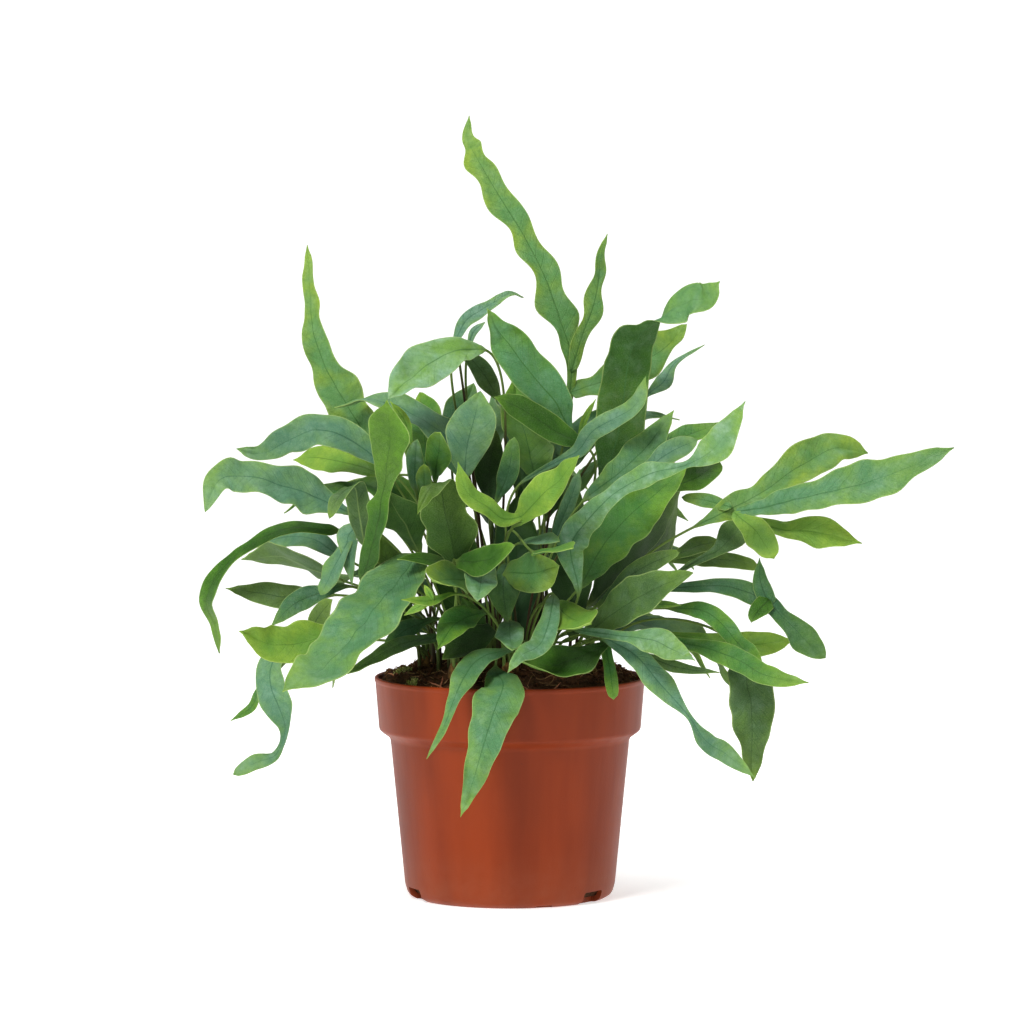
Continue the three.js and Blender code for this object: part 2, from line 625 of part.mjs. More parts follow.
    frond([[42, 113, -44], [44, 103, -49], [45, 96, -52], [46, 87.5, -54]], [5, 5, 6, 4]),
  ]],
  front_pale: ['blue', [
    frond([[19, 131, -50], [17, 121, -58], [13, 112, -64], [5, 107, -68], [-1, 99.5, -70]],
      [6, 9, 9, 6, 1.5], { reach: -22 }),
    frond([[21, 129, -52], [28, 124, -58], [35.5, 122, -62]], [8, 15, 10], { reach: -20 }),
  ]],
  left_curled: ['grey', [
    frond([[-65, 160, -30], [-67, 172, -33], [-69, 183, -35], [-76, 178, -44], [-80, 168, -46]],
      [6, 11, 9, 7, 3], { face: [BACK, BACK_UP, [-0.3, -0.3, 1], [-0.3, -1, 0.2]], plain: true }),
    frond([[-66, 166, -24], [-72, 160, -24], [-71, 150, -24], [-70, 138, -24]], [4, 8, 6, 2], {
      face: [LEFT_FRONT],
      lobes: [
        frond([[-70, 160, -24], [-79, 145, -22], [-84, 134, -20]], [3, 8.5, 3], { face: [LEFT_FRONT] }),
      ],
    }),
  ]],
  middle_dark: ['dark', [
    frond([[-42, 157, -28], [-47, 168, -29], [-56, 181, -30]], [6, 18, 3], { face: [BACK_UP], reach: -16 }),
    frond([[-22, 149, -44], [-11, 150, -50], [2, 156, -52]], [6, 12, 4], { face: [FRONT_UP], reach: -16 }),
    frond([[-26, 148, -44], [-38, 150, -46], [-50, 150, -47]], [3, 5, 1], { face: [UP_FRONT], reach: -10 }),
  ]],
  middle_round: ['green', [
    frond([[-33, 187, -34], [-32, 196, -36], [-31, 206, -38]], [3, 11, 6], { reach: -22 }),
    frond([[-42, 184, -24], [-42, 194, -26], [-41, 203, -26]], [5, 8, 3], { reach: -12 }),
    frond([[-38, 179, -33], [-38, 186, -35], [-38, 192, -36]], [4, 7, 4], { reach: -12 }),
  ]],
  middle_oval: ['blue', [
    frond([[-20, 188, -22], [-19, 200, -24], [-16, 212, -24], [-13, 224.5, -20]], [6, 18, 20, 5],
      { face: [FRONT, FRONT, UP_FRONT], reach: 14 }),
    frond([[-25, 200, 0], [-22, 214, 4], [-16, 228, 8]], [8, 16, 4], { reach: 24 }),
    frond([[-18, 240, 10], [-11, 231, 10], [-4, 220, 10]], [6, 9, 3], { reach: 12 }),
  ]],
  middle_blue: ['blue', [
    frond([[8, 186, -14], [20, 193, -14], [30, 198, -15], [37, 207, -16], [47, 213, -17], [56, 219, -17],
      [60, 231, -15]], [2, 3, 7, 8, 8, 7, 2], { reach: -8 }),
  ]],
  middle_green: ['dark', [
    frond([[11, 188, -2], [9, 200, -1], [5, 214, 2], [2, 231, 4]], [8, 20, 17, 3],
      { face: [RIGHT_FRONT], reach: 24 }),
    frond([[32, 201, -8], [22, 206, -10], [10, 214, -12], [0, 219, -12], [-7, 222, -12]],
      [3, 12, 11, 8, 1.5], { reach: -6 }),
  ]],
  middle_deep: ['dark', [
    frond([[-8, 176, -12], [-9, 190, -12], [-6, 207, -12]], [6, 13, 4], { face: [FRONT], reach: 8 }),
    frond([[-5, 178, -28], [-1, 188, -29], [2, 204, -29]], [3, 9, 5], { face: [FRONT], reach: -8 }),
    frond([[31, 204, 8], [33, 212, 9], [38, 221, 10]], [2, 3, 1], { face: [FRONT] }),
  ]],
  back_green: ['green', [
    frond([[-37, 188, -5], [-38, 200, -3], [-39, 212, 0], [-40, 224, 3]], [6, 17, 17, 5],
      { face: [LEFT_FRONT], reach: 28 }),
    frond([[-44, 203, -20], [-47, 212, -20], [-53, 220, -20]], [2, 5, 1]),
  ]],
  right_upper: ['blue', [
    frond([[36, 179, -26], [50, 190, -24], [61, 201, -22], [72.5, 216, -20]], [5, 13, 13, 2], { reach: 14 }),
    frond([[60, 190, -30], [72, 198, -28], [83, 203, -28]], [5, 10, 4], { reach: 6 }),
    frond([[61, 223, 26], [68, 229, 28], [73, 237, 30], [86, 245, 30]], [2, 7, 3, 1], { reach: 20 }),
  ]],
  right_waved: ['green', [
    frond([[76, 128, -20], [85, 127.5, -22], [93, 122, -23], [100, 114, -24], [106, 108, -24],
      [113, 101, -24]], [4, 8, 9, 7, 8, 2], { reach: -16 }),
  ]],
  right_young: ['young', [
    frond([[74, 116, -10], [90, 114, -8], [108, 112, -6], [126, 114, -6]], [3, 5, 12, 2], { reach: 20 }),
    frond([[60, 129, -26], [68, 130, -26], [76, 129.5, -26]], [2, 3, 1]),
  ]],
  right_low_green: ['green', [
    frond([[70, 114, -32], [88, 110, -35], [102, 105, -37], [114, 98, -38], [132.5, 95, -38]],
      [3, 8, 10, 9, 1], { reach: -20 }),
    frond([[58, 108, -30], [74, 102, -31], [93, 99.5, -32]], [2, 5, 1], { reach: -8 }),
  ]],
  left_under: ['grey', [
    frond([[-80, 143, 8], [-92, 149, 10], [-104, 152, 12], [-119, 150, 12]], [4, 11, 9, 1],
      { face: [BACK_UP], reach: 20 }),
    frond([[-76, 152, 18], [-88, 159, 22], [-100, 160, 24], [-113, 155, 26]], [4, 10, 8, 1], { reach: 26 }),
  ]],
  left_middle: ['blue', [
    frond([[-84, 134, 0], [-98, 133.5, 0], [-112, 135, 0], [-126, 137, 0]], [4, 10.5, 8.5, 1], { reach: 14 }),
    frond([[-78, 137, -12], [-90, 133, -14], [-98, 128, -15], [-106, 120, -15]], [4, 9, 8, 2]),
    frond([[-104, 100, -4], [-111, 92, -2], [-115, 84, 0], [-124, 78, 0]], [2, 3, 4, 1], { reach: 12 }),
    frond([[-88, 119, -16], [-84, 126, -16], [-79, 132, -16]], [5, 8, 3], { reach: -10 }),
  ]],
  front_left_star: ['young', [
    frond([[-28, 134, -58], [-36, 131.5, -62], [-48, 132, -64]], [2, 4, 1], {
      reach: -14,
      lobes: [
        frond([[-34, 131.5, -66], [-36, 135, -66], [-38, 138.5, -66]], [2, 3, 1]),
        frond([[-34, 132, -66], [-40, 129, -66], [-47, 125, -66]], [2, 4, 1]),
      ],
    }),
    frond([[-13, 126, -44], [-24, 122, -50], [-32, 110, -54]], [3, 13, 2], { reach: -16 }),
  ]],
  front_left_grey: ['grey', [
    frond([[-33, 115, -34], [-48, 112.5, -38], [-60, 106, -42], [-72, 99, -44]], [4, 6, 5, 2],
      { reach: -18 }),
    frond([[-38, 122, -20], [-47, 118, -22], [-58, 108, -24]], [3, 8, 2]),
  ]],
  middle_low: ['dark', [
    frond([[-16, 112, 10], [-20, 126, 14], [-22, 144, 20]], [6, 17, 4], { reach: 10 }),
    frond([[6, 112, 10], [8, 126, 14], [8, 144, 20]], [6, 17, 4], { reach: 10 }),
  ]],
};

// ---------------------------------------------------------------------------------------------
// The side that the viewpoint doesn't show: fans of three fronds, low, middle and high, that
// arch away from the middle of the pot. The draws are seeded.
// ---------------------------------------------------------------------------------------------

const FAN_COUNT = 6;
const FAN_START = 26;
const FAN_END = 152;
const FAN_TIERS = [
  { height: 118, out: 42, rise: [12, -58] },
  { height: 138, out: 40, rise: [34, -40] },
  { height: 162, out: 32, rise: [50, -32] },
  { height: 186, out: 22, rise: [68, -12] },
];
const FAN_COLOURS = ['blue', 'green', 'grey'];
const FAN_LENGTH = 80;
const FAN_WIDTH = 18;
const FAN_STEPS = 5;
const FAN_SPREAD = 8;
const FAN_VARY = { heading: 9, length: 14, out: 4, height: 8, swerve: 0.5, width: 3, roll: 0.9 };
const FAN_OUTLINE = [0.25, 0.9, 1, 0.75, 0.4, 0.08];
const FAN_SEED = 77;

function seededDraws(seed) {
  let state = seed;
  return () => {
    state = (state + 0x6d2b79f5) >>> 0;
    let t = Math.imul(state ^ (state >>> 15), state | 1);
    t ^= t + Math.imul(t ^ (t >>> 7), t | 61);
    return ((t ^ (t >>> 14)) >>> 0) / 4294967296;
  };
}

// The row [x, z, y] at which a real place is seen.
function asSeen(x, y, z) {
  const scale = (y - EYE.y) / -EYE.y;
  return [EYE.x + (x - EYE.x) / scale, EYE.z + (z - EYE.z) / scale, y];
}

function fanFrond(azimuth, tier, draw) {
  const vary = (amount) => amount * (2 * draw() - 1);
  const heading = THREE.MathUtils.degToRad(azimuth + vary(FAN_VARY.heading));
  const step = (FAN_LENGTH + vary(FAN_VARY.length)) / FAN_STEPS;
  let out = tier.out + vary(FAN_VARY.out);
  let z = tier.height + vary(FAN_VARY.height);
  const swerve = vary(FAN_VARY.swerve);
  const blade = [];
  for (let i = 0; i <= FAN_STEPS; i++) {
    const turn = heading + (swerve * i) / FAN_STEPS;
    blade.push(asSeen(out * Math.cos(turn), out * Math.sin(turn), z));
    const rise = THREE.MathUtils.lerp(...tier.rise, i / (FAN_STEPS - 1));
    out += step * Math.cos(THREE.MathUtils.degToRad(rise));
    z += step * Math.sin(THREE.MathUtils.degToRad(rise));
  }
  const broad = FAN_WIDTH + vary(FAN_VARY.width);
  const roll = vary(FAN_VARY.roll);
  const side = [-Math.sin(heading) * roll, Math.cos(heading) * roll];
  const face = [side[0] - 0.3 * Math.cos(heading), side[1] - 0.3 * Math.sin(heading), 1];
  const outward = [side[0] + 0.8 * Math.cos(heading), side[1] + 0.8 * Math.sin(heading), 0.7];
  const width = FAN_OUTLINE.map((share) => share * broad);
  return frond(blade, width, { face: [face, outward], plain: true, segments: FAN_STEPS });
}

const fanDraw = seededDraws(FAN_SEED);
for (let i = 0; i < FAN_COUNT; i++) {
  const azimuth = FAN_START + ((FAN_END - FAN_START) * i) / (FAN_COUNT - 1);
  const fan = FAN_TIERS.map((tier, k) => {
    const aside = (k - (FAN_TIERS.length - 1) / 2) * FAN_SPREAD;
    return fanFrond(azimuth + aside, tier, fanDraw);
  });
  PLANT[`back_fan_${i + 1}`] = [FAN_COLOURS[i % FAN_COLOURS.length], fan];
}

// ---------------------------------------------------------------------------------------------
// Placing: each frond keeps its place in the view and moves in depth, or stands elsewhere in the
// soil, until it is clear of the pot, the soil and every frond that is placed already.
// ---------------------------------------------------------------------------------------------

const boxed = (solid) => ({ solid, box: solid.boundingBox() });
const apart = (a, b) => [0, 1, 2].some((i) => a.min[i] > b.max[i] || b.min[i] > a.max[i]);

function clearOf(solid, others) {
  const box = solid.boundingBox();
  return others.every((other) => apart(box, other.box) || solid.intersect(other.solid).isEmpty());
}

function chooseShift(spec, others) {
  const found = DEPTH_STEPS.find((shift) => [spec, ...spec.lobes].every((part) =>
    clearOf(sweep(bladeStations(part, shift), CLEARANCE), others)));
  if (found === undefined) throw new Error('a blade has no clear depth');
  return found;
}

// The spots tried for a root: first under the blades, then on a widening spiral.
function rootSpot(specs, attempt) {
  const middle = specs.reduce((sum, spec) => sum.add(seen(spec.blade[0], 0)), new THREE.Vector3());
  const spot = new THREE.Vector2(middle.x, middle.y).multiplyScalar(ROOT_REACH / specs.length);
  const angle = attempt * GOLDEN_ANGLE;
  const away = ROOT_STEP * Math.sqrt(attempt);
  spot.add(new THREE.Vector2(away * Math.cos(angle), away * Math.sin(angle)));
  return spot.length() > ROOT_LIMIT ? spot.setLength(ROOT_LIMIT) : spot;
}

// Stalks that share a crown stand evenly round its middle, in the order of their headings.
function rootPlaces(specs, spot) {
  if (specs.length === 1) return [spot];
  const headings = specs.map((spec) => {
    const base = seen(spec.blade[0], 0);
    return Math.atan2(base.y - spot.y, base.x - spot.x);
  });
  const order = [...headings.keys()].sort((i, j) => headings[i] - headings[j]);
  return headings.map((_, i) => {
    const angle = headings[order[0]] + (2 * Math.PI * order.indexOf(i)) / specs.length;
    const away = new THREE.Vector2(Math.cos(angle), Math.sin(angle)).multiplyScalar(STALK_RING);
    return away.add(spot);
  });
}

// Whether each cross-section lies wholly ahead of the one before it, so that the run can't fold.
function runsOn(stations) {
  const corners = (station) => section(station).flat();
  return stations.slice(1).every((next, k) => {
    const here = stations[k];
    return corners(next).every((p) => p.clone().sub(here.place).dot(here.along) > 0)
      && corners(here).every((p) => p.clone().sub(next.place).dot(next.along) < 0);
  });
}

function chooseBend(spec, shift, root, others) {
  return BENDS.find((bend) => {
    const run = [...stalkStations(spec, shift, root, bend), bladeStation(spec, shift, 0)];
    return runsOn(run) && clearOf(sweep(run, CLEARANCE), others);
  });
}

// The room that a root takes up, from its foot to its top.
function rootRoom(radius, spot) {
  const heights = [ROOT_FOOT - CLEARANCE, ROOT_TOP + CLEARANCE];
  return stackedRings(heights.map((z) => levelRing(radius + CLEARANCE, CROWN_SIDES, z, spot)));
}

function chooseRoot(specs, shifts, radius, others, roots) {
  for (let attempt = 0; attempt < ROOT_TRIES; attempt++) {
    const spot = rootSpot(specs, attempt);
    const spaced = roots.every((other) => other.spot.distanceTo(spot) > other.radius + radius + ROOT_SPACING);
    if (!spaced || !clearOf(rootRoom(radius, spot), others)) continue;
    const places = rootPlaces(specs, spot);
    const bends = [];
    specs.every((spec, i) => {
      const bend = chooseBend(spec, shifts[i], places[i], others);
      return bend && bends.push(bend);
    });
    if (bends.length === specs.length) return { spot, places, bends };
  }
  throw new Error('a root has no clear spot');
}

// A lone frond's stalk goes down into its hole. Fronds that share a root grow from its short crown.
function makeRoot(lone, spot) {
  if (lone) {
    const post = (from, to, grow) => sweep([from, to].map((z) => ({
      ...lone, place: new THREE.Vector3(spot.x, spot.y, z), along: new THREE.Vector3(0, 0, 1),
    })), grow);
    return { hole: post(ROOT_FOOT - GAP, HOLE_TOP, GAP) };
  }
  const stack = (rings) => stackedRings(rings.map(([radius, z]) => levelRing(radius, CROWN_SIDES, z, spot)));
  return {
    crown: stack([
      [CROWN_RADIUS, ROOT_FOOT],
      [CROWN_RADIUS, ROOT_TOP - CROWN_SHOULDER],
      [CROWN_TOP_RADIUS, ROOT_TOP],
    ]),
    hole: stack([[CROWN_RADIUS + GAP, ROOT_FOOT - GAP], [CROWN_RADIUS + GAP, HOLE_TOP]]),
  };
}

function makeFrondNode(specs, ground, others, roots) {
  const shifts = specs.map((spec) => chooseShift(spec, [...others, ground]));
  const shared = specs.length > 1;
  const radius = shared ? CROWN_RADIUS : STALK / 2;
  const { spot, places, bends } = chooseRoot(specs, shifts, radius, others, roots);
  roots.push({ spot, radius });
  const stalks = specs.map((spec, i) => stalkStations(spec, shifts[i], places[i], bends[i]));
  const { crown, hole } = makeRoot(shared ? null : stalks[0][0], spot);
  const parts = specs.flatMap((spec, i) => {
    const stalk = stalks[i];
    const foot = { ...stalk[0], place: stalk[0].place.clone().setZ(ROOT_FOOT) };
    const run = shared ? stalk : [foot, ...stalk];
    const lobes = spec.lobes.map((lobe) => sweep(bladeStations(lobe, shifts[i])));
    return [sweep([...run, ...bladeStations(spec, shifts[i])]), ...lobes];
  });
  if (crown) parts.push(crown);
  return { body: parts.reduce((sum, part) => sum.add(part)), hole };
}

// ---------------------------------------------------------------------------------------------
// The whole plant
// ---------------------------------------------------------------------------------------------

const group = new THREE.Group();
const pot = makePot();
let soil = makeSoil();
const others = [boxed(pot)];
const roots = [];
const meshes = [];
for (const [name, [colour, specs]] of Object.entries(PLANT)) {
  const { body, hole } = makeFrondNode(specs, boxed(soil), others, roots);
  soil = soil.subtract(hole);
  others.push(boxed(body));
  meshes.push(namedMesh(`frond_${name}`, body, colour));
}
group.add(namedMesh('pot', pot, 'pot'), namedMesh('soil', soil, 'soil'), ...meshes);

export default group;
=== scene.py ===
"""Potted fern: the finished look of the pot, the soil and every frond, built over the CAD frame.

Lengths in the fern's table and curves are in millimetres, as in the CAD source, and are turned into
metres when a mesh is made. The origin is the centre of the pot's flat underside.
"""

import math
import random
from types import SimpleNamespace

import bmesh
import bpy
import numpy as np
from mathutils import Matrix, Vector, noise


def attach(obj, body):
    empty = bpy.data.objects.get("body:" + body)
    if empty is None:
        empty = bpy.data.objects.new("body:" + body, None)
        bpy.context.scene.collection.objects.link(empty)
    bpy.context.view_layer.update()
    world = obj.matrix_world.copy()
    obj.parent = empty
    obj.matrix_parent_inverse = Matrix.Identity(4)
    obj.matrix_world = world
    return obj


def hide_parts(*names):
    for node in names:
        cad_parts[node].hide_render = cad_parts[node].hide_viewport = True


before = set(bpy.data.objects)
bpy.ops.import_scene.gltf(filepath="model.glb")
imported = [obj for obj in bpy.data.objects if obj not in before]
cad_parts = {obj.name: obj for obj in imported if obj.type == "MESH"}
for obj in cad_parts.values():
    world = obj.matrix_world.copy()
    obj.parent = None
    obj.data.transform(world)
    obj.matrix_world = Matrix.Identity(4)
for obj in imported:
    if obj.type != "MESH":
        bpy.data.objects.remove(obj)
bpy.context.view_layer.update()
MM = 0.001

# ---- Dimensions shared with the CAD solids ----

RIM_RADIUS = 60
POT_HEIGHT = 98
BAND_HEIGHT = 23.5
BAND_RADIUS = 58
SHOULDER_DROP = 3.5
SHOULDER_RADIUS = 53.1
CORNER_HEIGHT = 6
CORNER_RADIUS = 46.7
FOOT_RADIUS = 42.5
FOOT_BEVEL = (2.9, 1.6)
WALL = 1.6
WALL_STEP = 1
FLOOR = 2.4
NOTCH_ANGLES = (-37, 83, 203)
NOTCH_WIDTH = 8.5
NOTCH_HEIGHT = 5
NOTCH_DEPTH = 6.2

GAP = 0.3
SOIL_EDGE_HEIGHT = 95.5
SOIL_MIDDLE_HEIGHT = 104
SOIL_TILT = 1.8
LUMP_HEIGHT = 1.3
LUMP_WAVES = ((1, 0.2, 0.06), (0.6, 0.12, 0.31), (0.5, -0.33, 0.17))

STALK = 1.4
ROOT_DEPTH = 12
ROOT_TOP = 107.5
ROOT_FOOT = SOIL_MIDDLE_HEIGHT - ROOT_DEPTH
LEAD_LIMIT = 22
LONG_STALK = 45
STALK_END = 3
STALK_RING = 1.5

BLADE_THICKNESS = 0.75
BLADE_TIP = 0.8
EDGE_WAVE = 0.1
WAVE_LENGTH = 36
EDGE_LAG = 2.1
WAVE_FADE = 5
REACH_EASE = 1.2
CHANNEL = 0.16
TANGENT_STEP = 0.01
RIBBED_WIDTH = 12
LEAST_SPREAD = 0.3
LEAST_SLANT = 0.45

# The depth shifts and stalk bends that the CAD source tries for a frond.
DEPTH_STEPS = sorted((s * d for d in (0, 2, 4, 6, 8, 11, 14, 18, 22, 26, 30) for s in (-1, 1)), key=abs)
BENDS = ((0.45, 0.35), (0.3, 0.35), (0.6, 0.35), (0.2, 0.5), (0.45, 0.1), (0.8, 0.2), (0.15, 0.15),
         (0.7, 0.6), (0.3, 0.8), (0.9, 0.4), (0.05, 0.6), (0.25, 0.2), (0.5, 0.55), (1.1, 0.15),
         (0.35, 0.6), (0.1, 0.9), (0.75, 0.05), (0.55, 0.75))
GOLDEN_ANGLE = 2.399963
# The viewpoint.
EYE = np.array([0.9, -2500.0, 348.0])

# ---- Curves ----


def unit(v):
    return v / max(np.linalg.norm(v), 1e-12)


def ease(x):
    x = min(max(x, 0.0), 1.0)
    return x * x * (3 - 2 * x)


def smooth(rows, t):
    """A smooth run through equally spaced rows of numbers, for t from 0 to 1."""
    last = len(rows) - 1
    u = min(max(t, 0.0), 1.0) * last
    i = min(int(u), last - 1)
    f = u - i
    b, c = rows[i], rows[i + 1]
    a = rows[i - 1] if i > 0 else 2 * rows[0] - rows[1]
    d = rows[i + 2] if i + 2 <= last else 2 * rows[last] - rows[last - 1]
    return b + 0.5 * f * (c - a + f * (2 * a - 5 * b + 4 * c - d + f * (3 * (b - c) + d - a)))


def stepped(rows, t):
    """Straight steps between equally spaced rows of numbers."""
    last = len(rows) - 1
    u = min(max(t, 0.0), 1.0) * last
    i = min(int(u), max(last - 1, 0))
    return rows[i] + (rows[min(i + 1, last)] - rows[i]) * (u - i)


def seen(row, shift):
    """The place at depth y that is seen at x, z of the upright plane through the pot's axis."""
    x, z, y = row
    depth = y + shift
    scale = (depth - EYE[1]) / -EYE[1]
    return np.array([EYE[0] + (x - EYE[0]) * scale, depth, EYE[2] + (z - EYE[2]) * scale])


def as_seen(x, y, z):
    """The other way round: a place as a row of the table."""
    scale = (y - EYE[1]) / -EYE[1]
    return [EYE[0] + (x - EYE[0]) / scale, EYE[2] + (z - EYE[2]) / scale, y]


def swing(v, before, after):
    """v, turned by the least turn that takes the direction before to after."""
    both = before + after
    return v - (both @ v) / max(1 + before @ after, 1e-9) * both + 2 * (before @ v) * after


# ---- The fronds ----

FRONT = [0, -1, 0.15]
FRONT_UP = [0, -0.85, 0.5]
UP_FRONT = [0, -0.5, 0.85]
UP = [0, -0.1, 1]
BACK_UP = [0, 0.6, 0.8]
BACK = [0, 1, 0.2]
LEFT_FRONT = [-0.5, -0.8, 0.35]
RIGHT_FRONT = [0.5, -0.8, 0.35]

frond_count = 0


def frond(blade, width, reach=0, face=(FRONT_UP,), cup=1, plain=False, ribbed=None, lobes=()):
    """One frond of the table.

    The blade's points are [x, z, y]: where it is seen in the upright plane through the pot's axis,
    and its depth. Widths are as seen, at equal steps from base to tip, or real if plain. Faces say
    where the upper side looks, and reach is how far the tip leans away from the viewpoint.
    """
    global frond_count
    frond_count += 1
    rows = np.array(blade, float)
    run = np.linalg.norm(np.diff(rows, axis=0), axis=1).sum()
    broad = max(width)
    return SimpleNamespace(
        blade=rows, width=np.array(width, float), length=math.hypot(run, reach), broad=broad,
        reach=reach, face=np.array(face, float), cup=cup, plain=plain,
        phase=frond_count * GOLDEN_ANGLE, number=frond_count, lobes=lobes,
        ribbed=(broad > RIBBED_WIDTH and not plain) if ribbed is None else ribbed)


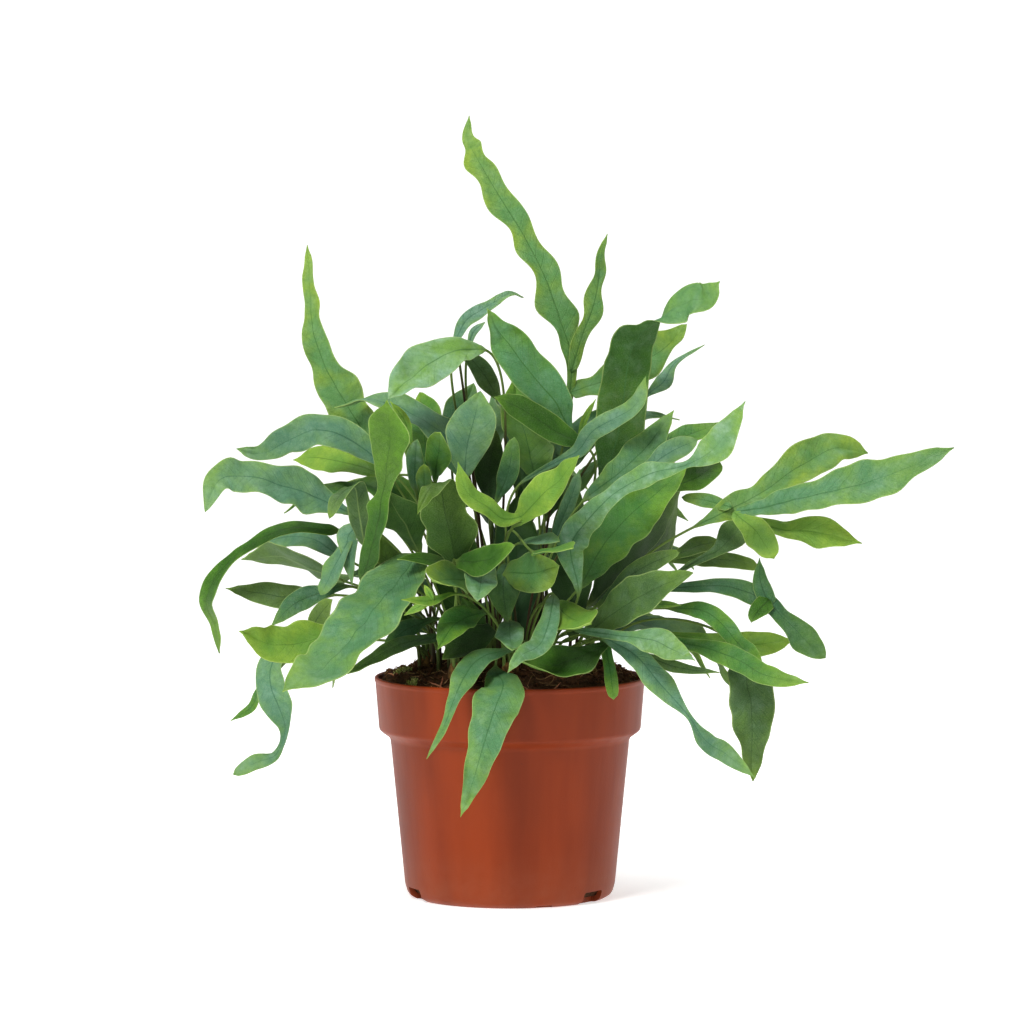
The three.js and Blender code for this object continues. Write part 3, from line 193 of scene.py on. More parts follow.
# Each entry has its tint, the looks of its fronds with each one's lobes after it,
# and the fronds that share a root.
PLANT = {
  "right_long_blue": ("blue", "pale_blue", [
    frond([[30, 139, -50], [27, 156, -50], [35, 168, -49], [46, 179, -49], [62, 188, -48], [78, 192, -48],
      [92, 201, -48], [104, 220, -48]], [4, 13, 11, 8, 9, 4, 13, 1.5], face=[FRONT, FRONT_UP], reach=-28)]),
  "left_big": ("blue", "blue_green", [
    frond([[-44, 149, -40], [-56, 135, -46], [-69, 119, -50], [-83, 104, -52], [-101, 91, -54]],
      [14, 24, 22, 18, 2], face=[[-0.4, -0.7, 0.6]], reach=-34)]),
  "front_over_rim": ("green", "blue_green", [
    frond([[-6, 99, -50], [-3, 93, -63], [-7, 82, -68], [-12, 66, -72], [-17, 49, -74], [-22, 35, -75]],
      [8, 17, 19, 14, 8, 1], face=[UP_FRONT, [0, -1, 0.4], [0, -1, 0]], cup=-0.6, reach=-12)]),
  "young_fork": ("young", "young young", [
    frond([[4, 168, -56], [12, 177, -58], [22, 186, -60], [30.5, 196, -62]], [6, 13, 11, 1.5], reach=-22,
      lobes=[
        frond([[6, 169, -56], [-3, 168, -57], [-10, 173, -58], [-19, 180, -58], [-23, 193, -58]],
          [3, 6, 8, 8, 2], reach=-14)])]),
  "left_lobed": ("green", "dark", [
    frond([[-65, 143, -33], [-61.5, 156, -38], [-58.5, 169, -41], [-56, 181, -42], [-55, 194, -43],
      [-54, 207, -44], [-54.5, 220.5, -46]], [5, 8.5, 9.5, 5, 15, 17, 1.5], face=[LEFT_FRONT], reach=-16)]),
  "left_tall": ("green", "fresh", [
    frond([[-60, 198, 5], [-70, 214, 4], [-80, 231, 2], [-87, 250, 0], [-88.5, 270, 0], [-89.5, 289, 2]],
      [3, 18, 15, 9, 6.5, 1], face=[[-0.5, -0.85, 0.2]], reach=24)]),
  "tallest": ("green", "fresh fresh fresh", [
    frond([[26.5, 222, 22], [27, 240, 22], [22, 257, 22], [16, 273, 22], [8, 290, 22], [0, 303, 22],
      [-8, 316, 22], [-15, 328, 22], [-18.5, 336, 22], [-18, 346, 22]],
      [3, 6, 12, 11, 11, 10, 11.5, 12, 5, 1], face=[[0.4, -0.9, 0.1], [-0.3, -0.9, 0.1]], reach=18, lobes=[
        frond([[27, 233, 22], [32, 249, 22], [36.5, 261, 22], [39, 273, 22], [40, 284, 22], [43, 294, 22]],
          [4, 7.5, 8, 6, 4, 1], face=[[0.3, -0.9, 0.1]], reach=10),
        frond([[26.5, 224, 22], [40, 229, 21], [55, 236, 20], [68, 244, 19], [78, 254, 18]],
          [6, 13, 14, 13, 4], reach=-8)])]),
  "top_dark_fold": ("dark", "folded", [
    frond([[42, 188, 4], [47, 203, 5], [50, 220, 5], [52, 237, 3], [56, 249, -3], [66, 257, -12],
      [78, 264, -19], [86, 266, -24], [92.5, 273, -28]], [6, 21, 22, 21, 18, 14, 15, 14, 1.5],
      face=[BACK, BACK, BACK_UP, UP, FRONT_UP, FRONT_UP], cup=0.5, plain=True, ribbed=True)]),
  "top_arch": ("green", "cool_green", [
    frond([[26, 208, 4], [20, 220, 2], [10, 232, 0], [0, 245, -2], [-6, 253, -3], [-10, 261, -4]],
      [4, 14, 19, 16, 8, 1.5], face=[[0.3, -1, 0.2]], reach=-10)]),
  "top_pale": ("blue", "arched", [
    frond([[-13, 243, 4], [-24, 243, 0], [-36, 237, -4], [-46, 229, -8], [-54, 221, -10]],
      [4, 14, 18, 14, 2], reach=-22)]),
  "right_lobed": ("green", "fresh blue_green young young fresh", [
    frond([[86, 166.5, -24], [98, 172.5, -24], [113, 181, -25], [130, 193, -26], [145, 200, -26],
      [158.5, 197, -26]], [3, 10, 11, 16, 14, 2], reach=16, lobes=[
        frond([[100, 171, -24], [112, 173, -23], [127, 177, -23], [148, 182, -24], [171, 189, -24],
          [196.5, 199.5, -24]], [3, 8, 11, 16, 15, 2], reach=-14),
        frond([[99, 171, -24], [109, 162, -28], [117, 150.5, -30]], [4, 12, 8], reach=-16),
        frond([[101, 170, -24], [111, 166, -22], [123, 163, -21], [138, 162, -20], [156, 157, -20]],
          [3, 5, 9, 13, 1.5], reach=-2),
        frond([[98, 173, -24], [87, 176, -20], [76, 177.5, -20]], [4, 6, 3], reach=8)])]),
  "left_long_blue": ("blue", "blue", [
    frond([[-74, 172, -18], [-88, 179, -20], [-103, 184, -22], [-118, 187.5, -22], [-129, 185, -20],
      [-135, 171, -18]], [4, 16, 15, 14, 11, 3], reach=-26)]),
  "left_upper": ("blue", "blue young", [
    frond([[-56, 192, -5], [-70, 203, -6], [-85, 208, -8], [-98, 203, -10], [-110, 197, -12],
      [-121, 199, -12]], [3, 13, 15, 12, 8, 2], reach=-6),
    frond([[-58, 188, 8], [-72, 193, 10], [-84, 195, 12], [-96, 194, 13]], [4, 11, 10, 2], reach=20)]),
  "front_dark_curl": ("grey", "dull", [
    frond([[-24, 148, -44], [-26, 160, -47], [-29, 173, -49], [-31, 184, -50], [-36, 180, -60],
      [-41, 170, -62]], [6, 22, 20, 12, 6, 2], face=[BACK, BACK, BACK_UP, [-0.2, -0.3, 1], [-0.2, -1, 0.2]],
      reach=-16, plain=True, ribbed=True)]),
  "right_green": ("green", "green", [
    frond([[33, 141, -36], [42, 156, -35], [54, 170, -34], [66, 180, -33], [79, 193, -32]],
      [6, 20, 21, 14, 2], face=[RIGHT_FRONT], reach=-16)]),
  "right_low_waist": ("blue", "blue", [
    frond([[44, 114, -48], [56, 107, -52], [67, 94, -54], [79, 80.5, -54], [87, 69, -54], [96, 63, -53],
      [109, 52.5, -52]], [4, 9, 11, 2.5, 8, 8, 1], face=[FRONT_UP, FRONT], reach=-14)]),
  "right_hanging": ("grey", "grey", [
    frond([[103, 106, -24], [106, 95, -27], [108, 80, -27], [108, 65, -27], [108, 51, -27]],
      [8, 20, 17, 12, 3], face=[[0.5, -1, 0.4], [0.5, -1, 0]], reach=-8)]),
  "left_hanging": ("blue", "blue", [
    frond([[-96, 116, -16], [-105, 106, -17], [-107, 95, -18], [-103, 84, -18], [-100, 74, -18],
      [-104, 63, -18], [-113, 59.5, -18], [-123, 54, -18]], [4, 10, 13, 12, 5, 4.5, 6, 5],
      face=[[-0.5, -0.9, 0.3]])]),
  "left_hook": ("dark", "dark", [
    frond([[-80, 163, -2], [-98, 164, -4], [-115, 156, -6], [-128, 146, -6], [-134.5, 132, -6],
      [-131, 120, -6], [-129, 108, -6]], [5, 5, 5, 5, 6, 4, 1], face=[UP_FRONT, [-0.5, -0.5, 0.8],
      [-0.9, -0.5, 0.1]], reach=10)]),
  "left_young": ("young", "young", [
    frond([[-76, 119, -30], [-90, 114, -34], [-105, 112.5, -36], [-120, 118, -36]], [4, 17, 15, 1.5],
      reach=-24)]),
  "front_tongue": ("green", "blue_green", [
    frond([[-3, 109, -48], [-14, 106, -56], [-20, 98, -64], [-25, 87, -67], [-30, 74, -68], [-37, 61, -68]],
      [3, 9, 10, 6, 3, 1], face=[UP_FRONT, [-0.3, -1, 0.4], [-0.3, -1, 0]], reach=-14)]),
  "front_pair": ("dark", "deep_blue fresh", [
    frond([[-2, 147, -42], [-3, 137, -46], [-1, 122, -48]], [4, 15, 3], reach=-4),
    frond([[1, 144, -50], [11, 144, -56], [21.5, 147, -59]], [11, 18.5, 7], face=[FRONT], reach=-12)]),
  "front_trio": ("green", "blue green pale_blue", [
    frond([[20, 160, -22], [24, 170, -23], [28, 180, -23], [31, 190, -22]], [4, 6, 6, 2]),
    frond([[12, 153, -46], [20, 155, -50], [28, 155, -52]], [3, 7, 2], face=[UP_FRONT], reach=-20),
    frond([[8, 158, -42], [15, 159, -44], [22, 158, -44]], [3, 5, 2], face=[UP_FRONT], reach=-12)]),
  "front_small": ("blue", "pale_blue fresh pale_blue", [
    frond([[-12, 147, -54], [-13, 140, -60], [-14.5, 131.5, -66]], [10, 14, 4], face=[UP_FRONT], reach=-24),
    frond([[-19, 141, -48], [-27, 142, -54], [-34, 141, -58]], [7, 13, 9], reach=-18),
    frond([[0, 121, -50], [0, 116, -58], [1, 109.5, -66]], [9, 12, 4], face=[UP_FRONT], reach=-20)]),
  "front_low": ("dark", "deep dark", [
    frond([[-8, 119, -36], [-19, 113, -40], [-30, 105.5, -42]], [6, 13, 3], reach=-10),
    frond([[-13, 110, -26], [-16, 121, -27], [-21, 133, -28]], [5, 11, 3], face=[FRONT])]),
  "right_pale_low": ("blue", "pale_blue", [
    frond([[33, 118, -50], [50, 116, -56], [64, 113.5, -58], [74, 109, -60], [82, 105, -60]],
      [3, 5, 12, 8, 1], reach=-22)]),
  "right_bent_lobed": ("dark", "deep_blue deep_blue dark", [
    frond([[70, 137, -16], [85, 138, -16], [100, 137, -16], [114, 131, -18], [122, 123, -20],
      [131, 114, -20], [140, 106, -20]], [3, 6, 8, 8, 8, 12, 5], reach=-8, lobes=[
        frond([[115, 129, -22], [111, 140, -22], [110.5, 150.5, -22]], [8, 7, 1], reach=6),
        frond([[115, 132, -22], [110, 127, -22], [107, 122, -22]], [8, 8, 3], reach=-8)])]),
  "right_far": ("green", "green dark", [
    frond([[66, 199, -8], [80, 206, -4], [94, 211, -2]], [4, 8, 1.5], face=[UP_FRONT], reach=24),
    frond([[72, 182, -6], [83, 187, -3], [93, 193, 0]], [5, 12, 6], reach=22)]),
  "right_deep": ("dark", "deep", [
    frond([[38, 133, -20], [50, 148, -18], [64, 163, -15], [75, 182, -12]], [6, 20, 22, 5], face=[BACK_UP],
      reach=18)]),
  "top_far": ("blue", "blue blue", [
    frond([[-24, 247, 20], [-19, 256, 22], [-9, 263, 24], [0, 267.5, 24], [6, 266, 24]], [3, 6, 5, 3, 1],
      face=[UP_FRONT], reach=30),
    frond([[-18, 245, 16], [-16, 251, 17], [-11, 255, 18]], [2, 3.5, 1.5], reach=10)]),
  # Fronds that fill the shaded middle of the plant in the darkest looks: a dark mass of painted shade
  # there.
  "core": ("dark", "dark deep_blue deep dark", [
    frond([[-20, 120, -12], [-24, 140, -12], [-26, 160, -10], [-27, 180, -8]], [6, 20, 20, 5], reach=6),
    frond([[4, 118, -20], [3, 138, -20], [3, 158, -18], [3, 178, -16]], [6, 20, 20, 5], reach=6),
    frond([[28, 118, -8], [27, 138, -6], [27, 160, -4], [28, 186, -2]], [6, 18, 18, 4], reach=8),
    frond([[-46, 124, -10], [-52, 142, -12], [-57, 160, -12]], [5, 16, 4])]),
  "right_narrow": ("grey", "grey olive olive", [
    frond([[76, 145, -12], [84, 150, -12], [92, 154, -12], [99, 161, -12], [105, 168, -12]],
      [2, 3, 6, 13, 5], reach=14),
    frond([[74, 152, -2], [84, 156, 0], [93, 158, 2]], [4, 8, 3], reach=20),
    frond([[74, 150, 8], [90, 150.5, 10], [110, 147, 12]], [4, 8, 5], reach=26)]),
  "right_grey": ("grey", "grey grey", [
    frond([[34, 117, -42], [48, 128, -46], [63, 137, -48], [81, 144, -48]], [5, 16, 14, 3], reach=-26),
    frond([[42, 132, -34], [54, 143, -35], [66, 150, -35], [75, 153, -34]], [3, 8, 7, 3], reach=-8)]),
  "front_right_dark": ("dark", "dark green", [
    frond([[42, 112, -46], [30, 107, -52], [16, 104, -56], [4, 105, -58]], [3, 13, 13, 2], face=[UP_FRONT],
      reach=-18),
    frond([[42, 113, -44], [44, 103, -49], [45, 96, -52], [46, 87.5, -54]], [5, 5, 6, 4])]),
  "front_pale": ("blue", "pale_blue young", [
    frond([[19, 131, -50], [17, 121, -58], [13, 112, -64], [5, 107, -68], [-1, 99.5, -70]],
      [6, 9, 9, 6, 1.5], reach=-22),
    frond([[21, 129, -52], [28, 124, -58], [35.5, 122, -62]], [8, 15, 10], reach=-20)]),
  "left_curled": ("grey", "grey blue blue", [
    frond([[-65, 160, -30], [-67, 172, -33], [-69, 183, -35], [-76, 178, -44], [-80, 168, -46]],
      [6, 11, 9, 7, 3], face=[BACK, BACK_UP, [-0.3, -0.3, 1], [-0.3, -1, 0.2]], plain=True),
    frond([[-66, 166, -24], [-72, 160, -24], [-71, 150, -24], [-70, 138, -24]], [4, 8, 6, 2],
      face=[LEFT_FRONT], lobes=[
        frond([[-70, 160, -24], [-79, 145, -22], [-84, 134, -20]], [3, 8.5, 3], face=[LEFT_FRONT])])]),
  "middle_dark": ("dark", "dark dark dark", [
    frond([[-42, 157, -28], [-47, 168, -29], [-56, 181, -30]], [6, 18, 3], face=[BACK_UP], reach=-16),
    frond([[-22, 149, -44], [-11, 150, -50], [2, 156, -52]], [6, 12, 4], reach=-16),
    frond([[-26, 148, -44], [-38, 150, -46], [-50, 150, -47]], [3, 5, 1], face=[UP_FRONT], reach=-10)]),
  "middle_round": ("green", "green pale_blue fresh", [
    frond([[-33, 187, -34], [-32, 196, -36], [-31, 206, -38]], [3, 11, 6], reach=-22),
    frond([[-42, 184, -24], [-42, 194, -26], [-41, 203, -26]], [5, 8, 3], reach=-12),
    frond([[-38, 179, -33], [-38, 186, -35], [-38, 192, -36]], [4, 7, 4], reach=-12)]),
  "middle_oval": ("blue", "blue deep_blue grey", [
    frond([[-20, 188, -22], [-19, 200, -24], [-16, 212, -24], [-13, 224.5, -20]], [6, 18, 20, 5],
      face=[FRONT, FRONT, UP_FRONT], reach=14),
    frond([[-25, 200, 0], [-22, 214, 4], [-16, 228, 8]], [8, 16, 4], reach=24),
    frond([[-18, 240, 10], [-11, 231, 10], [-4, 220, 10]], [6, 9, 3], reach=12)]),
  "middle_blue": ("blue", "blue", [
    frond([[8, 186, -14], [20, 193, -14], [30, 198, -15], [37, 207, -16], [47, 213, -17], [56, 219, -17],
      [60, 231, -15]], [2, 3, 7, 8, 8, 7, 2], reach=-8)]),
  "middle_green": ("dark", "green dark", [
    frond([[11, 188, -2], [9, 200, -1], [5, 214, 2], [2, 231, 4]], [8, 20, 17, 3], face=[RIGHT_FRONT],
      reach=24),
    frond([[32, 201, -8], [22, 206, -10], [10, 214, -12], [0, 219, -12], [-7, 222, -12]],
      [3, 12, 11, 8, 1.5], reach=-6)]),
  "middle_deep": ("dark", "deep deep_blue young", [
    frond([[-8, 176, -12], [-9, 190, -12], [-6, 207, -12]], [6, 13, 4], face=[FRONT], reach=8),
    frond([[-5, 178, -28], [-1, 188, -29], [2, 204, -29]], [3, 9, 5], face=[FRONT], reach=-8),
    frond([[31, 204, 8], [33, 212, 9], [38, 221, 10]], [2, 3, 1], face=[FRONT])]),
  "back_green": ("green", "green young", [
    frond([[-37, 188, -5], [-38, 200, -3], [-39, 212, 0], [-40, 224, 3]], [6, 17, 17, 5], face=[LEFT_FRONT],
      reach=28),
    frond([[-44, 203, -20], [-47, 212, -20], [-53, 220, -20]], [2, 5, 1])]),
  "right_upper": ("blue", "blue_green blue blue", [
    frond([[36, 179, -26], [50, 190, -24], [61, 201, -22], [72.5, 216, -20]], [5, 13, 13, 2], reach=14),
    frond([[60, 190, -30], [72, 198, -28], [83, 203, -28]], [5, 10, 4], reach=6),
    frond([[61, 223, 26], [68, 229, 28], [73, 237, 30], [86, 245, 30]], [2, 7, 3, 1], reach=20)]),
  "right_waved": ("green", "green", [
    frond([[76, 128, -20], [85, 127.5, -22], [93, 122, -23], [100, 114, -24], [106, 108, -24],
      [113, 101, -24]], [4, 8, 9, 7, 8, 2], reach=-16)]),
  "right_young": ("young", "young green", [
    frond([[74, 116, -10], [90, 114, -8], [108, 112, -6], [126, 114, -6]], [3, 5, 12, 2], reach=20),
    frond([[60, 129, -26], [68, 130, -26], [76, 129.5, -26]], [2, 3, 1])]),
  "right_low_green": ("green", "green grey", [
    frond([[70, 114, -32], [88, 110, -35], [102, 105, -37], [114, 98, -38], [132.5, 95, -38]],
      [3, 8, 10, 9, 1], reach=-20),
    frond([[58, 108, -30], [74, 102, -31], [93, 99.5, -32]], [2, 5, 1], reach=-8)]),
  "left_under": ("grey", "grey blue", [
    frond([[-80, 143, 8], [-92, 149, 10], [-104, 152, 12], [-119, 150, 12]], [4, 11, 9, 1], face=[BACK_UP],
      reach=20),
    frond([[-76, 152, 18], [-88, 159, 22], [-100, 160, 24], [-113, 155, 26]], [4, 10, 8, 1], reach=26)]),
  "left_middle": ("blue", "grey deep_blue green olive", [
    frond([[-84, 134, 0], [-98, 133.5, 0], [-112, 135, 0], [-126, 137, 0]], [4, 10.5, 8.5, 1], reach=14),
    frond([[-78, 137, -12], [-90, 133, -14], [-98, 128, -15], [-106, 120, -15]], [4, 9, 8, 2]),
    frond([[-104, 100, -4], [-111, 92, -2], [-115, 84, 0], [-124, 78, 0]], [2, 3, 4, 1], reach=12),
    frond([[-88, 119, -16], [-84, 126, -16], [-79, 132, -16]], [5, 8, 3], reach=-10)]),
  "front_left_star": ("young", "young young young green", [
    frond([[-28, 134, -58], [-36, 131.5, -62], [-48, 132, -64]], [2, 4, 1], reach=-14, lobes=[
        frond([[-34, 131.5, -66], [-36, 135, -66], [-38, 138.5, -66]], [2, 3, 1]),
        frond([[-34, 132, -66], [-40, 129, -66], [-47, 125, -66]], [2, 4, 1])]),
    frond([[-13, 126, -44], [-24, 122, -50], [-32, 110, -54]], [3, 13, 2], reach=-16)]),
  "front_left_grey": ("grey", "grey deep_blue", [
    frond([[-33, 115, -34], [-48, 112.5, -38], [-60, 106, -42], [-72, 99, -44]], [4, 6, 5, 2], reach=-18),
    frond([[-38, 122, -20], [-47, 118, -22], [-58, 108, -24]], [3, 8, 2])]),
  "middle_low": ("dark", "deep deep", [
    frond([[-16, 112, 10], [-20, 126, 14], [-22, 144, 20]], [6, 17, 4], reach=10),
    frond([[6, 112, 10], [8, 126, 14], [8, 144, 20]], [6, 17, 4], reach=10)]),
}

# ---- The side that the viewpoint doesn't show ----
# Fans of fronds in tiers that arch away from the middle of the pot. Angles are in degrees. A tier
# has its height, its distance from the axis, and its slope at the base and at the tip.

FAN_COUNT = 6
FAN_START = 26
FAN_END = 152
FAN_TIERS = ((118, 42, (12, -58)), (138, 40, (34, -40)), (162, 32, (50, -32)), (186, 22, (68, -12)))
FAN_LOOKS = {
    "blue": "blue deep_blue blue_green pale_blue",
    "green": "green dark fresh blue_green",
    "grey": "grey deep_blue green blue",
}
FAN_LENGTH = 80
FAN_WIDTH = 18
FAN_STEPS = 5
FAN_SPREAD = 8
FAN_OUTLINE = np.array([0.25, 0.9, 1, 0.75, 0.4, 0.08])
FAN_SEED = 77
VARY_HEADING = 9
VARY_LENGTH = 14
VARY_DISTANCE = 4
VARY_HEIGHT = 8
VARY_WIDTH = 3
SWERVE = 0.5
ROLL = 0.9


def seeded_draws(seed):
    """The same run of draws from 0 to 1 as the CAD source's, in 32-bit arithmetic."""
    mask = 0xFFFFFFFF
    state = seed
    while True:
        state = (state + 0x6D2B79F5) & mask
        t = ((state ^ (state >> 15)) * (state | 1)) & mask
        t ^= (t + (((t ^ (t >> 7)) * (t | 61)) & mask)) & mask
        yield ((t ^ (t >> 14)) & mask) / 4294967296


def fan_frond(azimuth, tier, draws):
    """A plain frond that heads outwards, with its upper side turned a little by the draws."""
    def vary(amount):
        return amount * (2 * next(draws) - 1)

    height, out, rise = tier
    heading = math.radians(azimuth + vary(VARY_HEADING))
    step = (FAN_LENGTH + vary(VARY_LENGTH)) / FAN_STEPS
    out += vary(VARY_DISTANCE)
    z = height + vary(VARY_HEIGHT)
    swerve = vary(SWERVE)
    blade = []
    for i in range(FAN_STEPS + 1):
        turn = heading + swerve * i / FAN_STEPS
        blade.append(as_seen(out * math.cos(turn), out * math.sin(turn), z))
        slope = math.radians(rise[0] + (rise[1] - rise[0]) * i / (FAN_STEPS - 1))
        out += step * math.cos(slope)
        z += step * math.sin(slope)
    broad = FAN_WIDTH + vary(VARY_WIDTH)
    roll = vary(ROLL)
    east, north = math.cos(heading), math.sin(heading)
    inward = [-north * roll - 0.3 * east, east * roll - 0.3 * north, 1]
    outward = [-north * roll + 0.8 * east, east * roll + 0.8 * north, 0.7]
    return frond(blade, FAN_OUTLINE * broad, face=[inward, outward], plain=True)


fan_draws = seeded_draws(FAN_SEED)
middle = (len(FAN_TIERS) - 1) / 2
for i in range(FAN_COUNT):
    azimuth = FAN_START + (FAN_END - FAN_START) * i / (FAN_COUNT - 1)
    fan = [
        fan_frond(azimuth + (k - middle) * FAN_SPREAD, tier, fan_draws)
        for k, tier in enumerate(FAN_TIERS)]
    tint = list(FAN_LOOKS)[i % len(FAN_LOOKS)]
    PLANT[f"back_fan_{i + 1}"] = (tint, FAN_LOOKS[tint], fan)

# ---- Cross-sections along a frond, as in the CAD source ----


def blade_section(f, shift, t):
    """A frond's station at t: its place and directions, and the form of the blade there."""
    def place(s):
        return seen(smooth(f.blade, s), shift + f.reach * s**REACH_EASE)

    along = unit(place(min(t + TANGENT_STEP, 1)) - place(max(t - TANGENT_STEP, 0)))
    face = stepped(f.face, t)
    face = unit(face - (face @ along) * along)
    sight = unit(place(t) - EYE)
    spread = np.linalg.norm(along - (along @ sight) * sight)
    facing = abs(face @ sight) / max(spread, LEAST_SPREAD)
    slant = 1 if f.plain else max(facing, LEAST_SLANT)
    half = max(smooth(f.width, t), BLADE_TIP) / slant / 2
    fade = min(1, WAVE_FADE * t, WAVE_FADE * (1 - t))
    turn = 2 * math.pi * t * f.length / WAVE_LENGTH + f.phase
    height = EDGE_WAVE * f.broad * fade
    return SimpleNamespace(
        place=place(t), along=along, face=face, half=half,
        rise=(height * math.sin(turn), height * math.sin(turn + EDGE_LAG)),
        channel=f.cup * CHANNEL * half)


def corners(s, thickness, rise=(0, 0)):
    """The four corners of the CAD solid's section at a station."""
    across = np.cross(s.along, s.face)
    return np.array([
        s.place + side * s.half * across + (up + lift) * s.face
        for side, up in ((-1, rise[0]), (1, rise[1]))
        for lift in (thickness / 2, -thickness / 2)])


def stalk_curve(f, shift, root, bend):
    """A stalk's course from its root to its blade's base, as functions of t from 0 to 1."""
    lift, lead = bend
    base = blade_section(f, shift, 0)
    start = np.array([root[0], root[1], ROOT_TOP - STALK])
    distance = np.linalg.norm(base.place - start)
    back = base.along * min(lead * distance, LEAD_LIMIT)
    p = np.array([start, start + [0, 0, lift * distance], base.place - back, base.place])

    def point(t):
        u = 1 - t
        return u**3 * p[0] + 3 * u * u * t * p[1] + 3 * u * t * t * p[2] + t**3 * p[3]

    def heading(t):
        u = 1 - t
        return unit(u * u * (p[1] - p[0]) + 2 * u * t * (p[2] - p[1]) + t * t * (p[3] - p[2]))

    return SimpleNamespace(base=base, distance=distance, point=point, heading=heading)


def stalk_stations(stalk, steps):
    """Stations at the given steps, each with its face turned on from the one above it."""
    stations = []
    above = stalk.base
    for t in reversed(steps):
        along = stalk.heading(t)
        face = swing(above.face, above.along, along)
        above = SimpleNamespace(t=t, place=stalk.point(t), along=along, face=face, half=STALK / 2)
        stations.insert(0, above)
    return stations


def coarse_stations(stalk):
    """The CAD solid's stations along the stalk."""
    count = 4 if stalk.distance > LONG_STALK else 3
    end = 1 - min(STALK_END / stalk.distance, 0.2)
    return stalk_stations(stalk, [end * i / (count - 1) for i in range(count)])


# ---- Where the CAD solids ended up: each frond's root, depth and bend are read from the frame ----

SOIL_REACH = 52
SAME_HEIGHT = 0.01
SAME_PLACE = 0.02


def misfit(points, targets):
    """How far the worst of the targets is from its nearest point."""
    return max(np.linalg.norm(points - target, axis=1).min() for target in targets)


def root_places(fronds, spot):
    """The root of each frond: the spot itself, or a ring round it in the order of their headings."""
    if len(fronds) == 1:
        return [spot]
    headings = []
    for f in fronds:
        base = seen(f.blade[0], 0)
        headings.append(math.atan2(base[1] - spot[1], base[0] - spot[0]))
    order = sorted(range(len(fronds)), key=lambda i: headings[i])
    places = []
    for i in range(len(fronds)):
        angle = headings[order[0]] + 2 * math.pi * order.index(i) / len(fronds)
        places.append(spot + STALK_RING * np.array([math.cos(angle), math.sin(angle)]))
    return places


def find_fronds(node, fronds):
    """[(frond, depth shift, root, bend)] for the fronds of a CAD node."""
    co = np.empty(len(node.data.vertices) * 3, np.float32)
    node.data.vertices.foreach_get("co", co)
    points = co.reshape(-1, 3) / MM
    at_foot = abs(points[:, 2] - ROOT_FOOT) < SAME_HEIGHT
    in_pot = np.hypot(points[:, 0], points[:, 1]) < SOIL_REACH
    foot = points[at_foot & in_pot]
    spot = (foot.min(0)[:2] + foot.max(0)[:2]) / 2
    found = []
    for f, root in zip(fronds, root_places(fronds, spot)):
        def tip_misfit(shift):
            s = blade_section(f, shift, 1)
            return misfit(points, corners(s, BLADE_THICKNESS, s.rise))

        shift = min(DEPTH_STEPS, key=tip_misfit)

        def missed(bend):
            stations = coarse_stations(stalk_curve(f, shift, root, bend))[1:]
            gaps = [misfit(points, [corner]) for s in stations for corner in corners(s, STALK)]
            return sum(gap > SAME_PLACE for gap in gaps)

        found.append((f, shift, root, min(BENDS, key=missed)))
    return found


# ---- Fine fronds ----

BLADE_STEP = 1.7
STALK_STEP = 4.0
SHEATH = 7.0
SHEATH_STEPS = 5
SHEATH_FLATNESS = 0.75
STALK_RADIUS = 0.55
STALK_SWELL = 0.25
SWELL_LENGTH = 12
BURIED_STEPS = (9.0, 4.5)
LEAST_HALF = 0.12
FLATTENING = 5
LOBE_START = 0.35
LOBE_EASE = 3
# The length of stalk over which the span map's second coordinate falls by 1.
STALK_SPAN = 60

# Each ring has 13 columns across, close at the midrib and the edges, and even round a stalk.
BLADE_COLUMNS = np.array([-1, -0.965, -0.82, -0.58, -0.32, -0.1, 0, 0.1, 0.32, 0.58, 0.82, 0.965, 1])
COLUMNS = len(BLADE_COLUMNS)
STALK_COLUMNS = -np.cos(np.pi * np.arange(COLUMNS) / (COLUMNS - 1))
RING = 2 * COLUMNS

# Scallops are a share of the half width. Deep ones are longer too.
DEFAULT_SCALLOP = 0.05
SCALLOPS = {
    "tallest": 0.32, "left_tall": 0.18, "right_long_blue": 0.07, "right_lobed": 0.06,
    "left_young": 0.08, "right_waved": 0.08, "left_long_blue": 0.07, "right_hanging": 0.06,
    "front_dark_curl": 0.12, "left_curled": 0.09, "top_pale": 0.07, "right_green": 0.07,
    "left_lobed": 0.08,
}
DEEP_SCALLOP = 0.12
DEEP_STRETCH = 1.6
SCALLOP_NOISE_LENGTH = 9
SCALLOP_WAVE_LENGTH = 14
SCALLOP_WAVE = 0.7
RUFFLE = 0.03
RUFFLE_LENGTH = 7
BILLOW = 0.075
BILLOW_LENGTH = 8
END_FADE = 8
NUMBER_OFFSET = 7.3
SIDE_OFFSET = 11.0

# Half the blade's thickness in the middle, and how much less it is at the edges.
HALF_THICKNESS = 0.27
EDGE_THINNING = 0.17
# The midrib's groove above and keel below: height, half width, and the share lost by the tip.
GROOVE = (0.14, 0.5, 0.5)
KEEL = (0.4, 0.6, 0.7)

# A blade that ends wider than this has a round tip, over a share of its width or of its length.
BLUNT_END = 2.6
ROUND_TIP = (0.55, 0.3)
POINT_LENGTH = 5.0
POINT_SHARE = 0.2

# How much broader a folded blade is beyond its fold, and between which parts of its length.
BROADER_ENDS = {"top_dark_fold": 0.5}
BROADER_FROM = 0.62
BROADER_TO = 0.86
BROADER_EASE = 0.1


def edge_noise(f, run, side, wavelength, seed):
    """A slow irregular wave along one edge, from -1 to 1."""
    place = Vector((run / wavelength, NUMBER_OFFSET * f.number + seed, SIDE_OFFSET * side))
    return noise.noise(place) * 2


def midrib(shape, distance, t):
    """The height of the groove or the keel at a distance from the midrib."""
    height, width, loss = shape
    return height * np.exp(-((distance / width) ** 2)) * (1 - loss * t)


